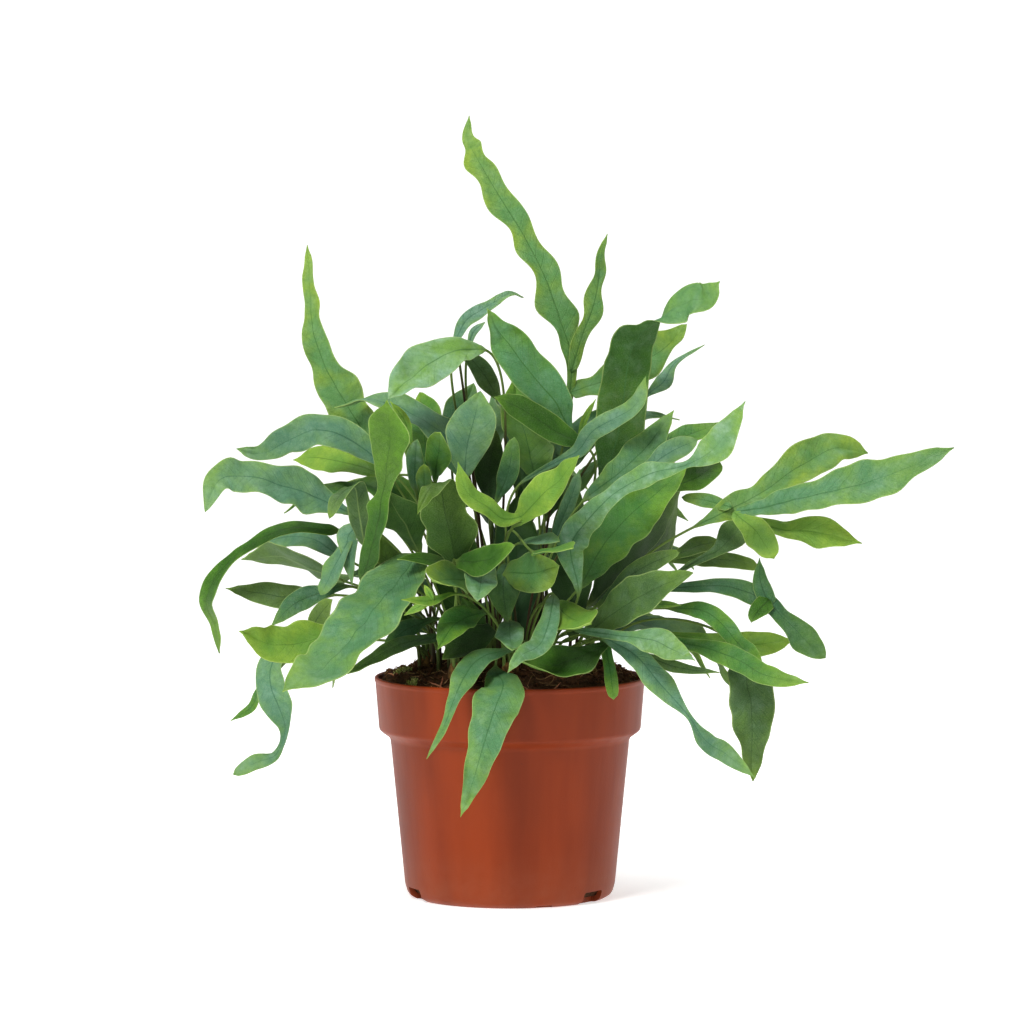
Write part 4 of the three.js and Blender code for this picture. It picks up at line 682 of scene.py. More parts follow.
def fine_ring(s, f, t, run, flat, radius, scallop):
    """One closed ring: the columns on the upper side, then back along the lower side."""
    across = np.cross(s.along, s.face)
    columns = BLADE_COLUMNS * flat + STALK_COLUMNS * (1 - flat)
    left = columns < 0
    size = np.abs(columns)
    end = min(1, END_FADE * t, END_FADE * (1 - t))
    stretch = DEEP_STRETCH if scallop > DEEP_SCALLOP else 1
    halves, rises = [], []
    for side, rise in zip((-1, 1), s.rise):
        waver = edge_noise(f, run, side, SCALLOP_NOISE_LENGTH * stretch, 0.5)
        turn = 2 * math.pi * run / (SCALLOP_WAVE_LENGTH * stretch) + f.phase + side
        waver += SCALLOP_WAVE * math.sin(turn)
        halves.append(s.half * (1 + scallop * end * waver))
        rises.append(rise + RUFFLE * f.broad * end * edge_noise(f, run, side, RUFFLE_LENGTH, 3.1))
    sideways = columns * np.where(left, *halves)
    rise = np.where(left, *rises)
    # A ribbed blade rises late towards its edges, from a narrow trough.
    if f.ribbed:
        middle = rise * size**1.7 - s.channel * (1 - size**1.3)
    else:
        level = s.rise[0] + (s.rise[1] - s.rise[0]) * (columns + 1) / 2
        middle = level + (rise - level) * size**2 - 0.5 * s.channel * (1 - size**2)
    spots = [Vector((run / BILLOW_LENGTH, 2.1 * c, 5.3 * f.number)) for c in columns]
    middle = middle + BILLOW * f.broad * end * np.array([noise.noise(spot) for spot in spots])
    distance = size * s.half
    body = HALF_THICKNESS - EDGE_THINNING * size**3
    circle = radius * np.sqrt(np.maximum(1 - columns**2, 0))
    top = flat * (middle + body - midrib(GROOVE, distance, t)) + (1 - flat) * circle
    bottom = flat * (middle - body - midrib(KEEL, distance, t)) - (1 - flat) * circle
    upper = s.place + sideways[:, None] * across + top[:, None] * s.face
    lower = s.place + sideways[:, None] * across + bottom[:, None] * s.face
    return np.concatenate([upper, lower[::-1]]), columns


def tip_shape(f, t):
    """How far the outline is drawn in near the tip: a blunt blade is rounded, a fine one pointed."""
    left = (1 - t) * f.length
    if f.width[-1] > BLUNT_END:
        size = min(ROUND_TIP[0] * f.broad, ROUND_TIP[1] * f.length)
        return math.sqrt(max(1 - (1 - min(left / size, 1)) ** 2, 0.0004))
    size = min(POINT_LENGTH, POINT_SHARE * f.length)
    return max(min(left / size, 1) ** 0.7, 0.02)


def stalk_rings(f, shift, root, bend):
    """Rings from under the soil to the blade's base, which the stalk widens into."""
    stalk = stalk_curve(f, shift, root, bend)
    count = max(int(stalk.distance / STALK_STEP), 4)
    share = min(SHEATH / stalk.distance, 0.6)
    steps = [i * (1 - share) / count for i in range(count)]
    steps += [1 - share * (SHEATH_STEPS - i) / SHEATH_STEPS for i in range(SHEATH_STEPS)]
    stations = stalk_stations(stalk, steps)
    for depth in BURIED_STEPS:
        buried = SimpleNamespace(**vars(stations[0]))
        buried.place = buried.place - [0, 0, depth]
        buried.t = -depth / stalk.distance
        stations.insert(0, buried)
    rings = []
    for s in stations:
        left = (1 - s.t) * stalk.distance
        flat = ease((SHEATH - left) / SHEATH)
        radius = STALK_RADIUS + STALK_SWELL * ease((SWELL_LENGTH - s.t * stalk.distance) / SWELL_LENGTH)
        s.half = radius + (max(stalk.base.half, radius) - radius) * flat
        s.rise = stalk.base.rise
        s.channel = stalk.base.channel * flat
        ring, columns = fine_ring(s, f, 0, -left, flat * SHEATH_FLATNESS, radius, 0)
        rings.append((ring, columns, s.half, -left, -left / STALK_SPAN))
    return rings


def blade_rings(f, shift, scallop, broader=0, lobe=False):
    """Rings from the blade's base to its tip. A lobe starts narrow, inside its blade."""
    rings = []
    steps = max(int(f.length / BLADE_STEP), 6)
    for i in range(steps + 1):
        t = i / steps
        s = blade_section(f, shift, t)
        run = t * f.length
        swell = broader * ease((t - BROADER_FROM) / BROADER_EASE)
        swell *= ease((BROADER_TO - t) / BROADER_EASE)
        s.half = max(s.half * tip_shape(f, t) * (1 + swell), LEAST_HALF)
        if lobe:
            s.half *= ease(LOBE_START + run / LOBE_EASE)
        flat = SHEATH_FLATNESS + (1 - SHEATH_FLATNESS) * ease(run / FLATTENING)
        ring, columns = fine_ring(s, f, t, run, flat, STALK_RADIUS, scallop)
        rings.append((ring, columns, s.half, run, t))
    return rings


# ---- Meshes ----

END_TAPER = 0.25
ASKEW = np.array([0.31, 0.2, 0.93])


class Skin:
    """A mesh in the making: vertices in metres, and a material slot for each face.

    It may have two UV maps: span goes from 0 to 1 from edge to edge and from base to tip, and
    metric is in centimetres from the midrib and along it.
    """

    def __init__(self):
        self.verts, self.faces, self.slots = [], [], []
        self.span, self.metric = [], []

    def add_face(self, face, slot=0):
        self.faces.append(face)
        self.slots.append(slot)

    def add_rings(self, rings, number, upper, lower):
        """Closes a skin round the rings, with a material for each side."""
        start = len(self.verts)
        for ring, columns, half, run, t in rings:
            self.verts.extend(ring * MM)
            for c in np.concatenate([columns, columns[::-1]]):
                self.metric.append((c * half / 10, run / 10 + NUMBER_OFFSET * number))
                self.span.append((c * 0.5 + 0.5, t))
        for k in range(len(rings) - 1):
            here, there = start + k * RING, start + (k + 1) * RING
            for i in range(RING):
                j = (i + 1) % RING
                on_top = i < COLUMNS - 1 or i == RING - 1
                self.add_face((here + i, here + j, there + j, there + i), upper if on_top else lower)
        for k in (0, len(rings) - 1):
            at = start + k * RING
            for i in range(COLUMNS - 1):
                face = (at + i, at + i + 1, at + RING - 2 - i, at + RING - 1 - i)
                self.add_face(face if k else face[::-1], upper)

    def add_strand(self, path, radius, sides, slot):
        """A thin closed tube along a path of points, tapered at both ends."""
        start = len(self.verts)
        last = len(path) - 1
        for k, p in enumerate(path):
            along = unit(path[min(k + 1, last)] - path[max(k - 1, 0)])
            side = unit(np.cross(along, ASKEW))
            up = np.cross(along, side)
            taper = radius * (END_TAPER if k in (0, last) else 1)
            for i in range(sides):
                angle = 2 * math.pi * i / sides
                aside = math.cos(angle) * side + math.sin(angle) * up
                self.verts.append((p + taper * aside) * MM)
        for k in range(last):
            for i in range(sides):
                j = (i + 1) % sides
                a, b = start + k * sides, start + (k + 1) * sides
                self.add_face((a + i, a + j, b + j, b + i), slot)
        self.add_face([start + i for i in reversed(range(sides))], slot)
        self.add_face([start + last * sides + i for i in range(sides)], slot)

    def make(self, name, *materials):
        """The finished object, smooth and with its faces pointing out."""
        mesh = bpy.data.meshes.new(name)
        mesh.from_pydata([tuple(v) for v in self.verts], [], self.faces)
        for material in materials:
            mesh.materials.append(material)
        mesh.polygons.foreach_set("material_index", self.slots)
        if self.span:
            corner_verts = np.empty(len(mesh.loops), int)
            mesh.loops.foreach_get("vertex_index", corner_verts)
            for layer_name, values in (("span", self.span), ("metric", self.metric)):
                layer = mesh.uv_layers.new(name=layer_name)
                layer.data.foreach_set("uv", np.array(values, np.float32)[corner_verts].ravel())
        mesh.polygons.foreach_set("use_smooth", [True] * len(mesh.polygons))
        bm = bmesh.new()
        bm.from_mesh(mesh)
        bmesh.ops.recalc_face_normals(bm, faces=bm.faces)
        bm.to_mesh(mesh)
        bm.free()
        mesh.update()
        return placed(name, mesh)


def placed(name, data):
    holder = bpy.data.objects.new(name, data)
    bpy.context.scene.collection.objects.link(holder)
    return holder


def keep(piece, slot, *nodes):
    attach(piece, "root")
    if nodes:
        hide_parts(*nodes)


# ---- Materials ----


def colour(code):
    """A colour given as it is seen on screen, in linear values."""
    channels = [int(code[i:i + 2], 16) / 255 for i in (1, 3, 5)]
    return [*(c / 12.92 if c <= 0.04045 else ((c + 0.055) / 1.055) ** 2.4 for c in channels), 1]


class Shader:
    """A material's node tree, with short ways to add nodes."""

    def __init__(self, name):
        self.material = bpy.data.materials.new(name)
        self.material.use_nodes = True
        self.tree = self.material.node_tree
        self.surface = self.tree.nodes["Principled BSDF"]

    def set(self, socket, value):
        if isinstance(value, bpy.types.NodeSocket):
            self.tree.links.new(value, socket)
        elif value is not None:
            socket.default_value = value

    def add(self, kind, *values, **settings):
        """A node with these settings. The values go to its inputs in their order."""
        node = self.tree.nodes.new("ShaderNode" + kind)
        for key, value in settings.items():
            setattr(node, key, value)
        for socket, value in zip(node.inputs, values):
            self.set(socket, value)
        return node

    def math(self, operation, a, b=None, c=None, clamp=False):
        return self.add("Math", a, b, c, operation=operation, use_clamp=clamp).outputs[0]

    def times(self, a, b):
        return self.math("MULTIPLY", a, b)

    def plus(self, a, b):
        return self.math("ADD", a, b)

    def band(self, value, low, high, start=0.0, end=1.0):
        """A smooth step from start to end as value goes from low to high."""
        node = self.add("MapRange", value, low, high, start, end, interpolation_type="SMOOTHSTEP")
        return node.outputs[0]

    def mix(self, share, a, b, blend="MIX"):
        node = self.add("Mix", share, data_type="RGBA", blend_type=blend)
        self.set(node.inputs[6], a)
        self.set(node.inputs[7], b)
        return node.outputs[2]

    def stain(self, base, share, code):
        return self.mix(share, base, colour(code))

    def noise(self, vector, scale, detail=3.0, roughness=0.5):
        return self.add("TexNoise", vector, None, scale, detail, roughness).outputs["Fac"]

    def place(self, *scales):
        """Where a point lies on the object, in metres, with its axes scaled if scales are given."""
        place = self.add("TexCoord").outputs["Object"]
        return self.add("Mapping", place, None, None, scales).outputs[0] if scales else place

    def bump(self, height, distance, strength):
        node = self.add("Bump", strength, distance, None, height)
        self.set(self.surface.inputs["Normal"], node.outputs[0])

    def finish(self, **sockets):
        for name, value in sockets.items():
            self.set(self.surface.inputs[name.replace("_", " ")], value)
        return self.material


# Each look: inner colour, outer colour towards the edges and the tip, midrib, and how much of the
# pale waxy bloom lies on the upper side; this bloom also serves as a painted sheen of light.
LOOKS = {
    "pale_blue": ("#62916f", "#78a055", "#41714a", 0.42),
    "blue": ("#5d8a70", "#769c58", "#3c6a50", 0.2),
    "blue_green": ("#588a62", "#7aa04c", "#3a6c40", 0.16),
    "deep_blue": ("#3f6e4e", "#568138", "#2a5433", 0.12),
    "cool_green": ("#5c9166", "#66963a", "#346826", 0.12),
    "green": ("#48803c", "#729c32", "#2f6022", 0.07),
    "fresh": ("#5c8c54", "#86a23c", "#3c6a30", 0.1),
    "young": ("#6c9840", "#92b042", "#4f7c2a", 0.03),
    "arched": ("#739e50", "#84ab9a", "#4a7a44", 0.3),
    "folded": ("#5f9062", "#74a052", "#3e6c3c", 0.12),
    # Painted shade: dark greens on both sides for the curled front frond, which lies in the shade of the
    # fronds above it.
    "dull": ("#34581c", "#4a6e28", "#264614", 0.03),
    "dark": ("#326418", "#528420", "#22480f", 0.03),
    # Painted shade: the near-black green of fronds deep in the shaded middle of the plant.
    "deep": ("#17380f", "#2e5614", "#112c0a", 0.0),
    "grey": ("#486a40", "#5e803a", "#35542c", 0.1),
    "olive": ("#48682e", "#648232", "#304e1e", 0.04),
}
# Looks whose underside has inner and outer colours of its own: painted shade, dark greens for undersides
# that lie in shade. The others are paler underneath.
UNDERSIDES = {"folded": ("#2f5a1c", "#437322"), "dull": ("#34581c", "#4a6e28")}
# The middle of the plant, in metres, that the painted shade on the fronds darkens towards.
PAINTED_SHADE_MIDDLE = (0.0, 0.01, 0.135)
VEINS_PER_CM = 2.3
VEIN_SLANT = -1.15
VEIN_WOBBLE = 0.06
NET_SCALE = 7.5
BLOOM_AND_SHEEN_UNDER = 0.5
LEAF_GAMMA = 1.07
LEAF_GAIN = [1.24, 1.17, 1.17, 1]
STALK_GREEN = colour("#6c8440")
STALK_BROWN = colour("#453620")


def frond_material(look, underside):
    """A look's material for one side of the blades. Its patterns are scaled per centimetre."""
    inner, outer, rib, bloom_and_sheen = LOOKS[look]
    paler = underside and look not in UNDERSIDES
    if underside and not paler:
        inner, outer = UNDERSIDES[look]
    m = Shader(f"{look}_{'under' if underside else 'upper'}")
    metric = m.add("UVMap", uv_map="metric").outputs[0]
    across, t, _ = m.add("SeparateXYZ", m.add("UVMap", uv_map="span").outputs[0]).outputs
    from_rib, run, _ = m.add("SeparateXYZ", metric).outputs
    side = m.math("ABSOLUTE", m.math("MULTIPLY_ADD", across, 2.0, -1.0))
    from_rib = m.math("ABSOLUTE", from_rib)
    patches = m.noise(metric, 0.9, 4)
    mottle = m.noise(metric, 4.5, 4, 0.6)
    grain = m.noise(metric, 22.0, 2)

    # From the inner to the outer colour, and yellower at the tip.
    edge = m.math("POWER", side, 2.2)
    tip = m.math("POWER", m.math("MAXIMUM", t, 0.0), 3.0)
    tone = m.plus(m.times(edge, 0.5), m.times(tip, 0.45))
    tone = m.math("ADD", tone, m.math("MULTIPLY_ADD", patches, 2.6, -1.25), clamp=True)
    base = m.mix(tone, colour(inner), colour(outer))
    base = m.stain(base, m.times(tip, m.times(tip, 0.4)), "#86a53c")

    # One blade differs from the next.
    leaf = m.noise(metric, 0.13, 1)
    base = m.stain(base, m.band(leaf, 0.3, 0.5, 0.3, 0.0), rib)
    base = m.stain(base, m.band(leaf, 0.5, 0.72, 0.0, 0.35), "#8aa84c")

    if paler:
        base = m.stain(base, 0.2, "#76936c")
        bloom_and_sheen *= BLOOM_AND_SHEEN_UNDER
    # Whitish-blue clouds: the pale waxy bloom, and a painted sheen of light on the blade.
    bloom_and_sheen_cloud = m.band(m.noise(metric, 1.7, 5, 0.65), 0.42, 0.72, 0.0, bloom_and_sheen)
    base = m.stain(base, bloom_and_sheen_cloud, "#a3c0b2")
    base = m.stain(base, m.band(mottle, 0.35, 0.75, 0.0, 0.3), rib)

    # Side veins slant towards the tip, and a fine net lies between them.
    slanted = m.plus(run, m.times(from_rib, VEIN_SLANT))
    slanted = m.plus(slanted, m.times(mottle, VEIN_WOBBLE))
    vein = m.math("SUBTRACT", m.math("FRACT", m.times(slanted, VEINS_PER_CM)), 0.5)
    vein = m.band(m.math("ABSOLUTE", vein), 0.0, 0.09, 1.0, 0.0)
    cells = m.add("TexVoronoi", metric, None, NET_SCALE, feature="DISTANCE_TO_EDGE")
    net = m.band(cells.outputs["Distance"], 0.0, 0.09, 1.0, 0.0)
    blade = m.band(t, -0.02, 0.04)
    lines = m.plus(m.times(vein, 0.1), m.times(net, 0.13))
    lines = m.times(lines, m.times(blade, m.band(t, 1.0, 0.6, 0.3, 1.0)))
    base = m.stain(base, lines, rib)

    # The midrib narrows and fades towards the tip. The blade has a pale margin and fine grain.
    width = m.band(t, 0.0, 1.0, 0.045, 0.015)
    middle = m.math("SUBTRACT", 1.0, m.math("DIVIDE", from_rib, width), clamp=True)
    middle = m.times(m.band(middle, 0.0, 0.6), m.band(t, 0.97, 0.7, 0.0, 0.7))
    base = m.stain(base, middle, "#86a062" if paler else rib)
    base = m.stain(base, m.times(m.band(side, 0.93, 0.99), m.times(blade, 0.45)), "#b3c983")
    base = m.stain(base, m.band(grain, 0.3, 0.8, 0.0, 0.1), "#c9d9a8")

    # Painted shade, darker towards the dense middle of the plant where the fronds shade each other; and the
    # stalk below the blade.
    outward = m.add("VectorMath", m.place(), PAINTED_SHADE_MIDDLE, operation="DISTANCE").outputs["Value"]
    base = m.stain(base, m.band(outward, 0.035, 0.095, 0.72, 0.0), "#1a3a0c")
    base = m.add("Gamma", base, LEAF_GAMMA).outputs[0]
    base = m.mix(1.0, base, LEAF_GAIN, "MULTIPLY")
    stalk = m.mix(m.band(t, -0.55, -1.25), STALK_GREEN, STALK_BROWN)
    base = m.mix(m.band(t, 0.02, -0.12), base, stalk)

    relief = m.plus(m.times(vein, -0.5), m.times(net, -0.25))
    relief = m.times(relief, m.band(t, 1.0, 0.6))
    relief = m.plus(relief, m.times(patches, 0.8))
    m.bump(m.plus(relief, m.times(grain, 0.15)), 0.00032, 0.7)
    low, high = (0.62, 0.8) if underside else (0.42, 0.62)
    return m.finish(
        Base_Color=base, Roughness=m.band(patches, 0.3, 0.7, low, high), Specular_IOR_Level=0.24)


def pot_material():
    m = Shader("pot_plastic")
    clouds = m.noise(m.place(1.0, 1.0, 0.16), 45, 3)
    streaks = m.noise(m.place(1.0, 1.0, 0.04), 210, 2)
    fine = m.noise(m.place(), 1400, 2)
    base = m.mix(m.band(clouds, 0.35, 0.68), colour("#953b06"), colour("#843206"))
    base = m.stain(base, m.band(streaks, 0.4, 0.75, 0.0, 0.1), "#6e2c08")
    specks = m.noise(m.place(), 520, 3, 0.7)
    base = m.stain(base, m.band(specks, 0.7, 0.78, 0.0, 0.6), "#5c2c1c")
    height = m.add("SeparateXYZ", m.place()).outputs[2]
    dust = m.times(m.band(height, 0.03, 0.0, 0.0, 0.35), m.noise(m.place(), 160, 4))
    base = m.stain(base, dust, "#a56a50")
    m.bump(m.plus(fine, m.times(streaks, 1.5)), 0.00008, 0.5)
    return m.finish(
        Base_Color=base, Roughness=m.band(clouds, 0.3, 0.7, 0.38, 0.48), Specular_IOR_Level=0.3)


def earth_material(name, dark, light, scale):
    m = Shader(name)
    clumps = m.noise(m.place(), 260 * scale, 5, 0.65)
    grains = m.noise(m.place(), 1500 * scale, 4, 0.7)
    chips = m.noise(m.place(), 900 * scale, 3)
    base = m.mix(m.band(clumps, 0.32, 0.68), colour(dark), colour(light))
    base = m.stain(base, m.band(grains, 0.56, 0.72, 0.0, 0.55), "#7a5a3c")
    base = m.stain(base, m.band(chips, 0.68, 0.74, 0.0, 0.6), "#a88a62")
    m.bump(m.plus(m.times(clumps, 1.2), grains), 0.0008, 0.9)
    return m.finish(Base_Color=base, Roughness=0.95, Specular_IOR_Level=0.2)


def strand_material(name, dark, light):
    m = Shader(name)
    bits = m.noise(m.place(), 420, 4, 0.6)
    base = m.mix(m.band(bits, 0.3, 0.7), colour(dark), colour(light))
    m.bump(m.noise(m.place(), 2600, 3), 0.0002, 0.7)
    return m.finish(Base_Color=base, Roughness=0.8, Specular_IOR_Level=0.25)


def floor_material():
    m = Shader("studio_paper")
    fine = m.noise(m.place(), 60, 3)
    base = m.mix(m.band(fine, 0.3, 0.7), [0.76, 0.76, 0.76, 1], [0.78, 0.78, 0.78, 1])
    m.bump(m.noise(m.place(), 900, 2), 0.00005, 0.3)
    return m.finish(
        Base_Color=base, Roughness=0.9, Specular_IOR_Level=0.1, Emission_Color=(1, 1, 1, 1),
        Emission_Strength=0.54)


# ---- The fern ----

SLOTS = {
    "blue": "frond_blue_green", "green": "frond_green", "dark": "frond_dark_green",
    "young": "frond_young_green", "grey": "frond_grey_green",
}
# A rhizome tip's rings: radius, and depth under the top of the root.
RHIZOME = ((2.8, 12), (3.0, 7), (2.8, 4), (2.3, 1.7), (1.5, 0.2), (0.3, -0.2))
SCALINESS = 0.16

frond_materials = {}


def side_materials(look):
    """The materials of a look's upper side and underside, each made once."""
    for underside in (False, True):
        if (look, underside) not in frond_materials:
            frond_materials[look, underside] = frond_material(look, underside)
    return frond_materials[look, False], frond_materials[look, True]


def rhizome_rings(spot):
    """A scaly rhizome tip round the feet of stalks that share a root."""
    rings = []
    for radius, down in RHIZOME:
        z = ROOT_TOP - down
        ring = []
        for i in range(RING):
            angle = 2 * math.pi * i / RING
            x, y = math.cos(angle), math.sin(angle)
            bump = 1 + SCALINESS * noise.noise(Vector((3 * x + spot[0], 3 * y + spot[1], z / 2)))
            ring.append([spot[0] + radius * bump * x, spot[1] + radius * bump * y, z])
        rings.append((np.array(ring), STALK_COLUMNS, radius, z, 0.0))
    return rings


rhizome = strand_material("rhizome_scales", "#4a3319", "#8a6a38")
for key, (tint, looks, fronds) in PLANT.items():
    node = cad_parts[f"frond_{key}"]
    looks = looks.split()
    names = list(dict.fromkeys(looks))
    used = [material for look in names for material in side_materials(look)] + [rhizome]
    slots = iter([2 * names.index(look) for look in looks])
    scallop = SCALLOPS.get(key, DEFAULT_SCALLOP)
    broader = BROADER_ENDS.get(key, 0)
    skin = Skin()
    found = find_fronds(node, fronds)
    for f, shift, root, bend in found:
        slot = next(slots)
        rings = stalk_rings(f, shift, root, bend) + blade_rings(f, shift, scallop, broader)
        skin.add_rings(rings, f.number, slot, slot + 1)
        for lobe in f.lobes:
            slot = next(slots)
            rings = blade_rings(lobe, shift, scallop, lobe=True)
            skin.add_rings(rings, lobe.number, slot, slot + 1)
    if len(fronds) > 1:
        spot = sum(root for _, _, root, _ in found) / len(found)
        skin.add_rings(rhizome_rings(spot), 0, len(used) - 1, len(used) - 1)
    keep(skin.make(f"fern_{key}", *used), SLOTS[tint], node.name)

# ---- Pot ----

POT_SECTORS = 144
ROUNDING_STEPS = 4
LIP_HEIGHT = 1.7
LIP_FOOT = (0.35, 2.4)
FOOT_RING = 6
ROUNDINGS = (0, 0.5, 1.5, 1.5, 1.6, 1.2, 0.4, 0.3, 0.8, 0.7, 1.5, 1.5, 1.5, 1, 0)
SHARP_ANGLE = 35
NOTCH_BOX = (2 * NOTCH_DEPTH, 1.5 * NOTCH_WIDTH, 2.2 * NOTCH_HEIGHT)
FOOT_SLOT_ANGLES = (-70, 50, 170)
FOOT_SLOT_BOX = (7, 8, 2.2)
FOOT_SLOT_RADIUS = FOOT_RADIUS + 2.4
CUTTER_ROUNDING = 0.5


def rounded(profile, radii):
    """The profile with its corners rounded off by the given lengths."""
    points = []
    for i, corner in enumerate(profile):
        radius = radii[i]
        here = np.array(corner, float)
        if radius == 0:
            points.append(here)
            continue
        before, after = (np.array(profile[(i + k) % len(profile)], float) for k in (-1, 1))
        start = here + unit(before - here) * min(radius, np.linalg.norm(before - here) / 2)
        end = here + unit(after - here) * min(radius, np.linalg.norm(after - here) / 2)
        for k in range(ROUNDING_STEPS + 1):
            t = k / ROUNDING_STEPS
            points.append((1 - t) ** 2 * start + 2 * t * (1 - t) * here + t * t * end)
    return points


def lathe(profile, sectors, level=lambda x, y, z: z):
    """A closed skin turned round the pot's axis, with a middle point at either end."""
    skin = Skin()
    for radius, z in profile:
        for i in range(sectors):
            angle = 2 * math.pi * i / sectors
            x, y = radius * math.cos(angle), radius * math.sin(angle)
            skin.verts.append((x * MM, y * MM, level(x, y, z) * MM))
    for k in range(len(profile) - 1):
        for i in range(sectors):
            j = (i + 1) % sectors
            a, b = k * sectors, (k + 1) * sectors
            skin.add_face((a + i, a + j, b + j, b + i))
    for k in (0, len(profile) - 1):
        skin.verts.append((0, 0, level(0, 0, profile[k][1]) * MM))
        hub = len(skin.verts) - 1
        for i in range(sectors):
            a, b = k * sectors + i, k * sectors + (i + 1) % sectors
            skin.add_face((a, b, hub) if k else (b, a, hub))
    return skin


def cutter(box, radius, degrees):
    mesh = bpy.data.meshes.new("cutter")
    bm = bmesh.new()
    bmesh.ops.create_cube(bm, size=1)
    bmesh.ops.scale(bm, vec=Vector(box) * MM, verts=bm.verts)
    bmesh.ops.bevel(bm, geom=bm.edges[:], offset=CUTTER_ROUNDING * MM, segments=2, affect="EDGES")
    bmesh.ops.translate(bm, vec=(radius * MM, 0, 0), verts=bm.verts)
    bmesh.ops.rotate(bm, matrix=Matrix.Rotation(math.radians(degrees), 3, "Z"), verts=bm.verts)
    bm.to_mesh(mesh)
    bm.free()
    return placed("cutter", mesh)


band = POT_HEIGHT - BAND_HEIGHT
shoulder = band - SHOULDER_DROP
outside = [
    (FOOT_RADIUS, 0), (FOOT_RADIUS + FOOT_BEVEL[0], FOOT_BEVEL[1]), (CORNER_RADIUS, CORNER_HEIGHT),
    (SHOULDER_RADIUS, shoulder), (BAND_RADIUS, band),
    (RIM_RADIUS - LIP_FOOT[0], POT_HEIGHT - LIP_FOOT[1]), (RIM_RADIUS, POT_HEIGHT - LIP_HEIGHT),
    (RIM_RADIUS, POT_HEIGHT)]
inside = [
    (RIM_RADIUS - WALL, POT_HEIGHT), (BAND_RADIUS - WALL, band + WALL_STEP),
    (SHOULDER_RADIUS - WALL, shoulder + WALL_STEP), (CORNER_RADIUS - WALL, CORNER_HEIGHT),
    (FOOT_RADIUS, FLOOR)]
middle = FOOT_RADIUS - FOOT_RING
profile = rounded([(middle, 0), *outside, *inside, (middle, FLOOR)], ROUNDINGS)
pot = lathe(profile, POT_SECTORS).make("fern_pot", pot_material())
cutters = [cutter(NOTCH_BOX, CORNER_RADIUS, angle) for angle in NOTCH_ANGLES]
cutters += [cutter(FOOT_SLOT_BOX, FOOT_SLOT_RADIUS, angle) for angle in FOOT_SLOT_ANGLES]
for box in cutters:
    cut = pot.modifiers.new("cut", "BOOLEAN")
    cut.operation = "DIFFERENCE"
    cut.solver = "EXACT"
    cut.object = box
finished = bpy.data.meshes.new_from_object(pot.evaluated_get(bpy.context.evaluated_depsgraph_get()))
pot.modifiers.clear()
pot.data = finished
for box in cutters:
    bpy.data.objects.remove(box)
pot.data.set_sharp_from_angle(angle=math.radians(SHARP_ANGLE))
keep(pot, "pot_plastic", "pot")

# ---- Soil, with its crumbs, fibres and tufts of moss ----

SOIL_SECTORS = 168
SOIL_STEP = 1.2
BAND_SLOPE = (RIM_RADIUS - BAND_RADIUS) / BAND_HEIGHT
SOIL_EDGE = BAND_RADIUS + BAND_SLOPE * (SOIL_EDGE_HEIGHT - band) - WALL - 2 * GAP
CLOD_HEIGHT = 0.9
CLOD_LENGTH = 6
PORE_HEIGHT = 0.5
PORE_LENGTH = 1.6
EDGE_DIP = 1.2
EDGE_DIP_FROM = 0.93
EDGE_DIP_WIDTH = 0.07

CRUMB_COUNT = 1500
CRUMB_SIZE = 0.35
CRUMB_EXTRA = 1.5
LARGE_CRUMB = 1.2
ROUGHNESS = 0.55

FIBRE_COUNT = 420
STRAND_STEPS = 8
STRAND_MARGIN = 1.5
ROOT_RADIUS = 0.34
ROOT_BEND = 0.7
# Root strands that show: x, y, heading, length, and how far their ends stand up.
ROOTS = (
    (-32, -46, 0.9, 17, 2.5), (-30, -44, 2.2, 13, 2), (14, -54, 0.2, 19, 2.2), (46, -30, 1.2, 14, 2.4),
    (-50, -14, 1.9, 12, 2), (50, 8, 2.0, 15, 2.0), (8, 52, 0.1, 16, 2.2))
# Tufts of moss: x, y, radius, and number of shoots.
TUFTS = ((-47, -12, 4, 150), (-43, -34, 2.6, 60), (30, 44, 4, 130))
TUFT_HEIGHT = 2.6
TUFT_SPREAD = 6
draw = random.Random(41)


def soil_height(x, y):
    """The CAD's surface."""
    share = math.hypot(x, y) / RIM_RADIUS
    mound = (SOIL_MIDDLE_HEIGHT - SOIL_EDGE_HEIGHT) * (1 - share**4) + SOIL_TILT * y / RIM_RADIUS
    waves = sum(size * math.sin(kx * x + ky * y + i) for i, (size, kx, ky) in enumerate(LUMP_WAVES))
    return SOIL_EDGE_HEIGHT + mound + LUMP_HEIGHT * waves * (1 - share**4)


def soil_top(x, y):
    """The CAD's surface with the clods and pores of peat on it."""
    clods = noise.multi_fractal(Vector((x / CLOD_LENGTH, y / CLOD_LENGTH, 0.3)), 1.0, 2.1, 4)
    pores = noise.noise(Vector((x / PORE_LENGTH, y / PORE_LENGTH, 4.1)))
    share = min(math.hypot(x, y) / SOIL_EDGE, 1)
    dip = EDGE_DIP * ease((share - EDGE_DIP_FROM) / EDGE_DIP_WIDTH)
    return soil_height(x, y) + CLOD_HEIGHT * (clods - 1.0) + PORE_HEIGHT * pores - dip


def soil_level(x, y, z):
    return soil_top(x, y) if z is None else z


def on_soil(reach):
    """A random place on the soil, as far out as reach of its edge."""
    angle = draw.uniform(0, 2 * math.pi)
    out = SOIL_EDGE * reach * math.sqrt(draw.random())
    return out * math.cos(angle), out * math.sin(angle)


